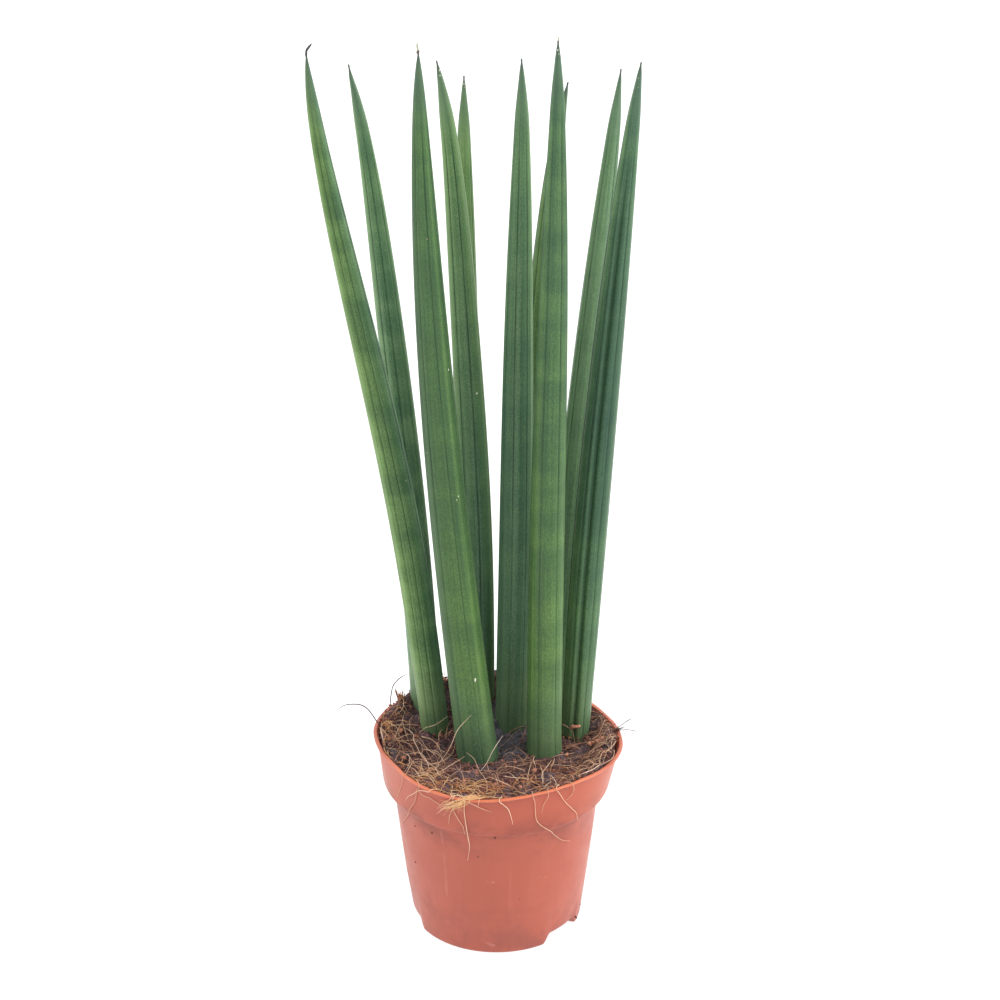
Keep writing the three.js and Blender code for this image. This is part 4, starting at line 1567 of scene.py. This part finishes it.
# The longest strands that lie on the mix: where each passes, and its greatest width and tint. They
# arch up off the mix between their ends.
GROUND_STRANDS = (
    (((-56.5, 10), (-54, 11), (-51, 6), (-47, 7), (-42, 9), (-38, 10)), 0.36, 0.76),
    (((-46, 8), (-43, 6), (-41, 4), (-40, -3), (-38, -7), (-37, -9)), 0.43, 0.78),
    (((-38, -7), (-35, -17), (-32, -21), (-29, -27), (-27, -33), (-24, -35)), 0.38, 0.76),
    (((-37, -6), (-34, -9), (-30, -12), (-26, -13)), 0.34, 0.72),
    (((-37, 4), (-32, 0), (-29, -4), (-27, -10), (-26, -13)), 0.33, 0.72),
    (((-37, -19), (-34, -21), (-30, -19), (-26, -16), (-22, -12), (-20, -2)), 0.31, 0.76),
    (((-51, -2), (-48, -2), (-45, 1), (-41, 5)), 0.43, 0.66),
    (((-57, 9), (-56, 0), (-55, -4), (-54, -6)), 0.36, 0.80),
    (((-56, 8), (-54, 0), (-51, -2)), 0.36, 0.61),
    (((-50, -3), (-49, 0), (-48, 4), (-46, 11)), 0.34, 0.76),
    (((-41, -25), (-38, -33), (-36, -37), (-34, -38)), 0.34, 0.76),
    (((-43, -33), (-41, -26), (-39, -16)), 0.29, 0.78),
    (((-36, -20), (-35, -31), (-34, -34)), 0.31, 0.68),
    (((-46, -11), (-42, -17), (-40, -23), (-38, -24)), 0.34, 0.56),
    (((-46, -10), (-48, -21), (-49, -23)), 0.31, 0.46),
    (((-25, 13), (-26, 7), (-28, 3), (-28, 0)), 0.47, 0.61),
    (((-23, 12), (-24, 7), (-25, 2)), 0.39, 0.56),
    (((-32, 1), (-35, 0), (-37, 4)), 0.33, 0.72),
    (((3, -32), (7, -35), (14, -37), (20, -40)), 0.40, 0.80),
    (((-4, -32), (0, -38), (4, -40), (8, -43)), 0.40, 0.82),
    (((1, -23), (7, -25), (11, -28), (14, -27)), 0.34, 0.68),
    (((21, -22), (22, -31), (22, -39), (22, -42)), 0.36, 0.80),
    (((27, -16), (24, -25), (22, -31), (21, -37)), 0.36, 0.76),
    (((24, -27), (26, -34), (28, -42), (29, -45)), 0.31, 0.86),
    (((22, -45), (24, -42), (26, -40), (29, -45)), 0.31, 0.76),
    (((18, -15), (16, -26), (15, -34), (15, -39)), 0.33, 0.66),
    (((19, -12), (18, -22), (19, -24)), 0.34, 0.72),
    (((28, -15), (27, -23), (26, -24)), 0.33, 0.68),
    (((38, -36), (42, -36), (45, -34), (50, -27)), 0.40, 0.82),
    (((41, -23), (44, -23), (46, -29), (49, -29)), 0.34, 0.74),
    (((49, -27), (50, -22), (52, -18), (56, -13)), 0.33, 0.56),
    (((52, -18), (56, -14), (58, -8)), 0.33, 0.68),
    (((49, -29), (54, -27), (57, -15)), 0.31, 0.66),
    (((3, -14), (6, -5), (9, -5), (12, -10), (17, -16)), 0.34, 0.51),
    (((4, 6), (7, 8), (11, 10), (15, 13)), 0.31, 0.41),
    (((11, -1), (13, 4), (16, 16)), 0.43, 0.36),
    (((34, -4), (38, -7), (42, -6)), 0.33, 0.56),
    (((5, -27), (8, -34), (11, -38)), 0.31, 0.72),
)


def make_ground_strands(material):
    parts = []
    for places, width, tint in GROUND_STRANDS:
        x, y = np.array(places, float).T
        share = np.linspace(0, 1, len(places))
        z = soil_height(x, y) + 0.9 + 1.6 * np.sin(math.pi * share)
        path = curve_through(np.stack([x, y, z], axis=-1), 6 * len(places))
        parts.append((*tube(path, GROUND_STRAND_SHARE * width, sides=5), tint))
    gather("ground_strands", parts, material)


# The frayed wisp that stands on the heap at the back left.
WISP_STRANDS = 40
WISP_FOOT = (-47.2, 25, 102.3)
WISP_HEIGHT = 8.6


def make_wisp(material):
    draw = np.random.default_rng(WISP_SEED)
    parts = []
    for _ in range(WISP_STRANDS):
        foot = WISP_FOOT + draw.normal(0, 0.75, 3) * (1, 1, 0.4)
        rise = WISP_HEIGHT * (0.25 + 0.75 * draw.uniform() ** 2.2)
        lean = draw.normal(0, 0.24, 2) * rise
        bend = draw.normal(0, 0.4, 3)
        top = foot + (lean[0], lean[1], rise)
        path = [foot, (foot + top) / 2 + bend, top]
        parts.append(strand(path, 9, draw.uniform(0.26, 0.5), draw.uniform(0.25, 0.6)))
    gather("fibre_wisp", parts, material)


# The dark root hairs on the right: where they come over the lip, how many short ones there are, and
# where the long ones end.
HAIR_AZIMUTH = 96
SHORT_HAIRS = 24
HAIR_ENDS = (
    (67.5, 5, 105.4), (66, 2, 107), (73.5, -2, 101.5), (74, -6, 97.8), (70, 0, 99.5), (64, 3, 101),
)


def make_dark_tuft(material):
    """Dark root hairs that stick out over the rim on the right."""
    draw = np.random.default_rng(HAIR_SEED)
    knot = on_wall(HAIR_AZIMUTH, POT_HEIGHT, -2.2) + (0, 0, 0.4)
    parts = []
    for end in HAIR_ENDS:
        root = knot + draw.normal(0, 1.2, 3) - (4, 0, 1.2)
        bow = (knot + end) / 2 + (0, 0, draw.uniform(0.3, 1.6))
        path = [root, knot + draw.normal(0, 0.35, 3), bow, end]
        parts.append(strand(path, 16, draw.uniform(0.12, 0.24), draw.uniform(0.06, 0.24)))
    for _ in range(SHORT_HAIRS):
        end = knot + draw.normal(0, 0.9, 3) * (2.0, 2.0, 1.0) + (1.0, 0, 0.6)
        root = knot + draw.normal(0, 1.6, 3) * (1, 1, 0.5) - (3.5, 0, 1)
        path = [root, knot + draw.normal(0, 0.5, 3), end]
        parts.append(strand(path, 8, draw.uniform(0.18, 0.34), draw.uniform(0.04, 0.26)))
    gather("dark_tuft", parts, material)


def make_fibres(feet):
    pinkish = fibre_material("coir_fibre", PINKISH)
    golden = fibre_material("coir_fibre_golden", GOLDEN)
    for bed in FIBRE_BEDS:
        make_fibre_bed(bed, feet, golden if bed.golden else pinkish)
    make_rim_strands(pinkish)
    make_rim_tuft(golden)
    make_free_strands(pinkish)
    make_ground_strands(pinkish)
    make_wisp(golden)
    make_dark_tuft(pinkish)


# ---- the plant ----------------------------------------------------------------------------------

make_camera()
make_stage()
make_pot()
skin = leaf_material()
leaf_spines = {
    leaf_name: make_leaf(number, leaf_name, look, skin)
    for number, (leaf_name, look) in enumerate(LEAF_LOOKS.items())
}
dry = dry_material()
make_tip_threads(leaf_spines, dry)
make_leaf_flecks(leaf_spines, dry)
make_soil()
leaf_ground = leaf_feet(leaf_spines)
crumbs = crumb_material()
make_crumbs(leaf_ground, crumbs)
make_specks(crumbs)
make_husk(crumbs)
make_fibres(leaf_ground)
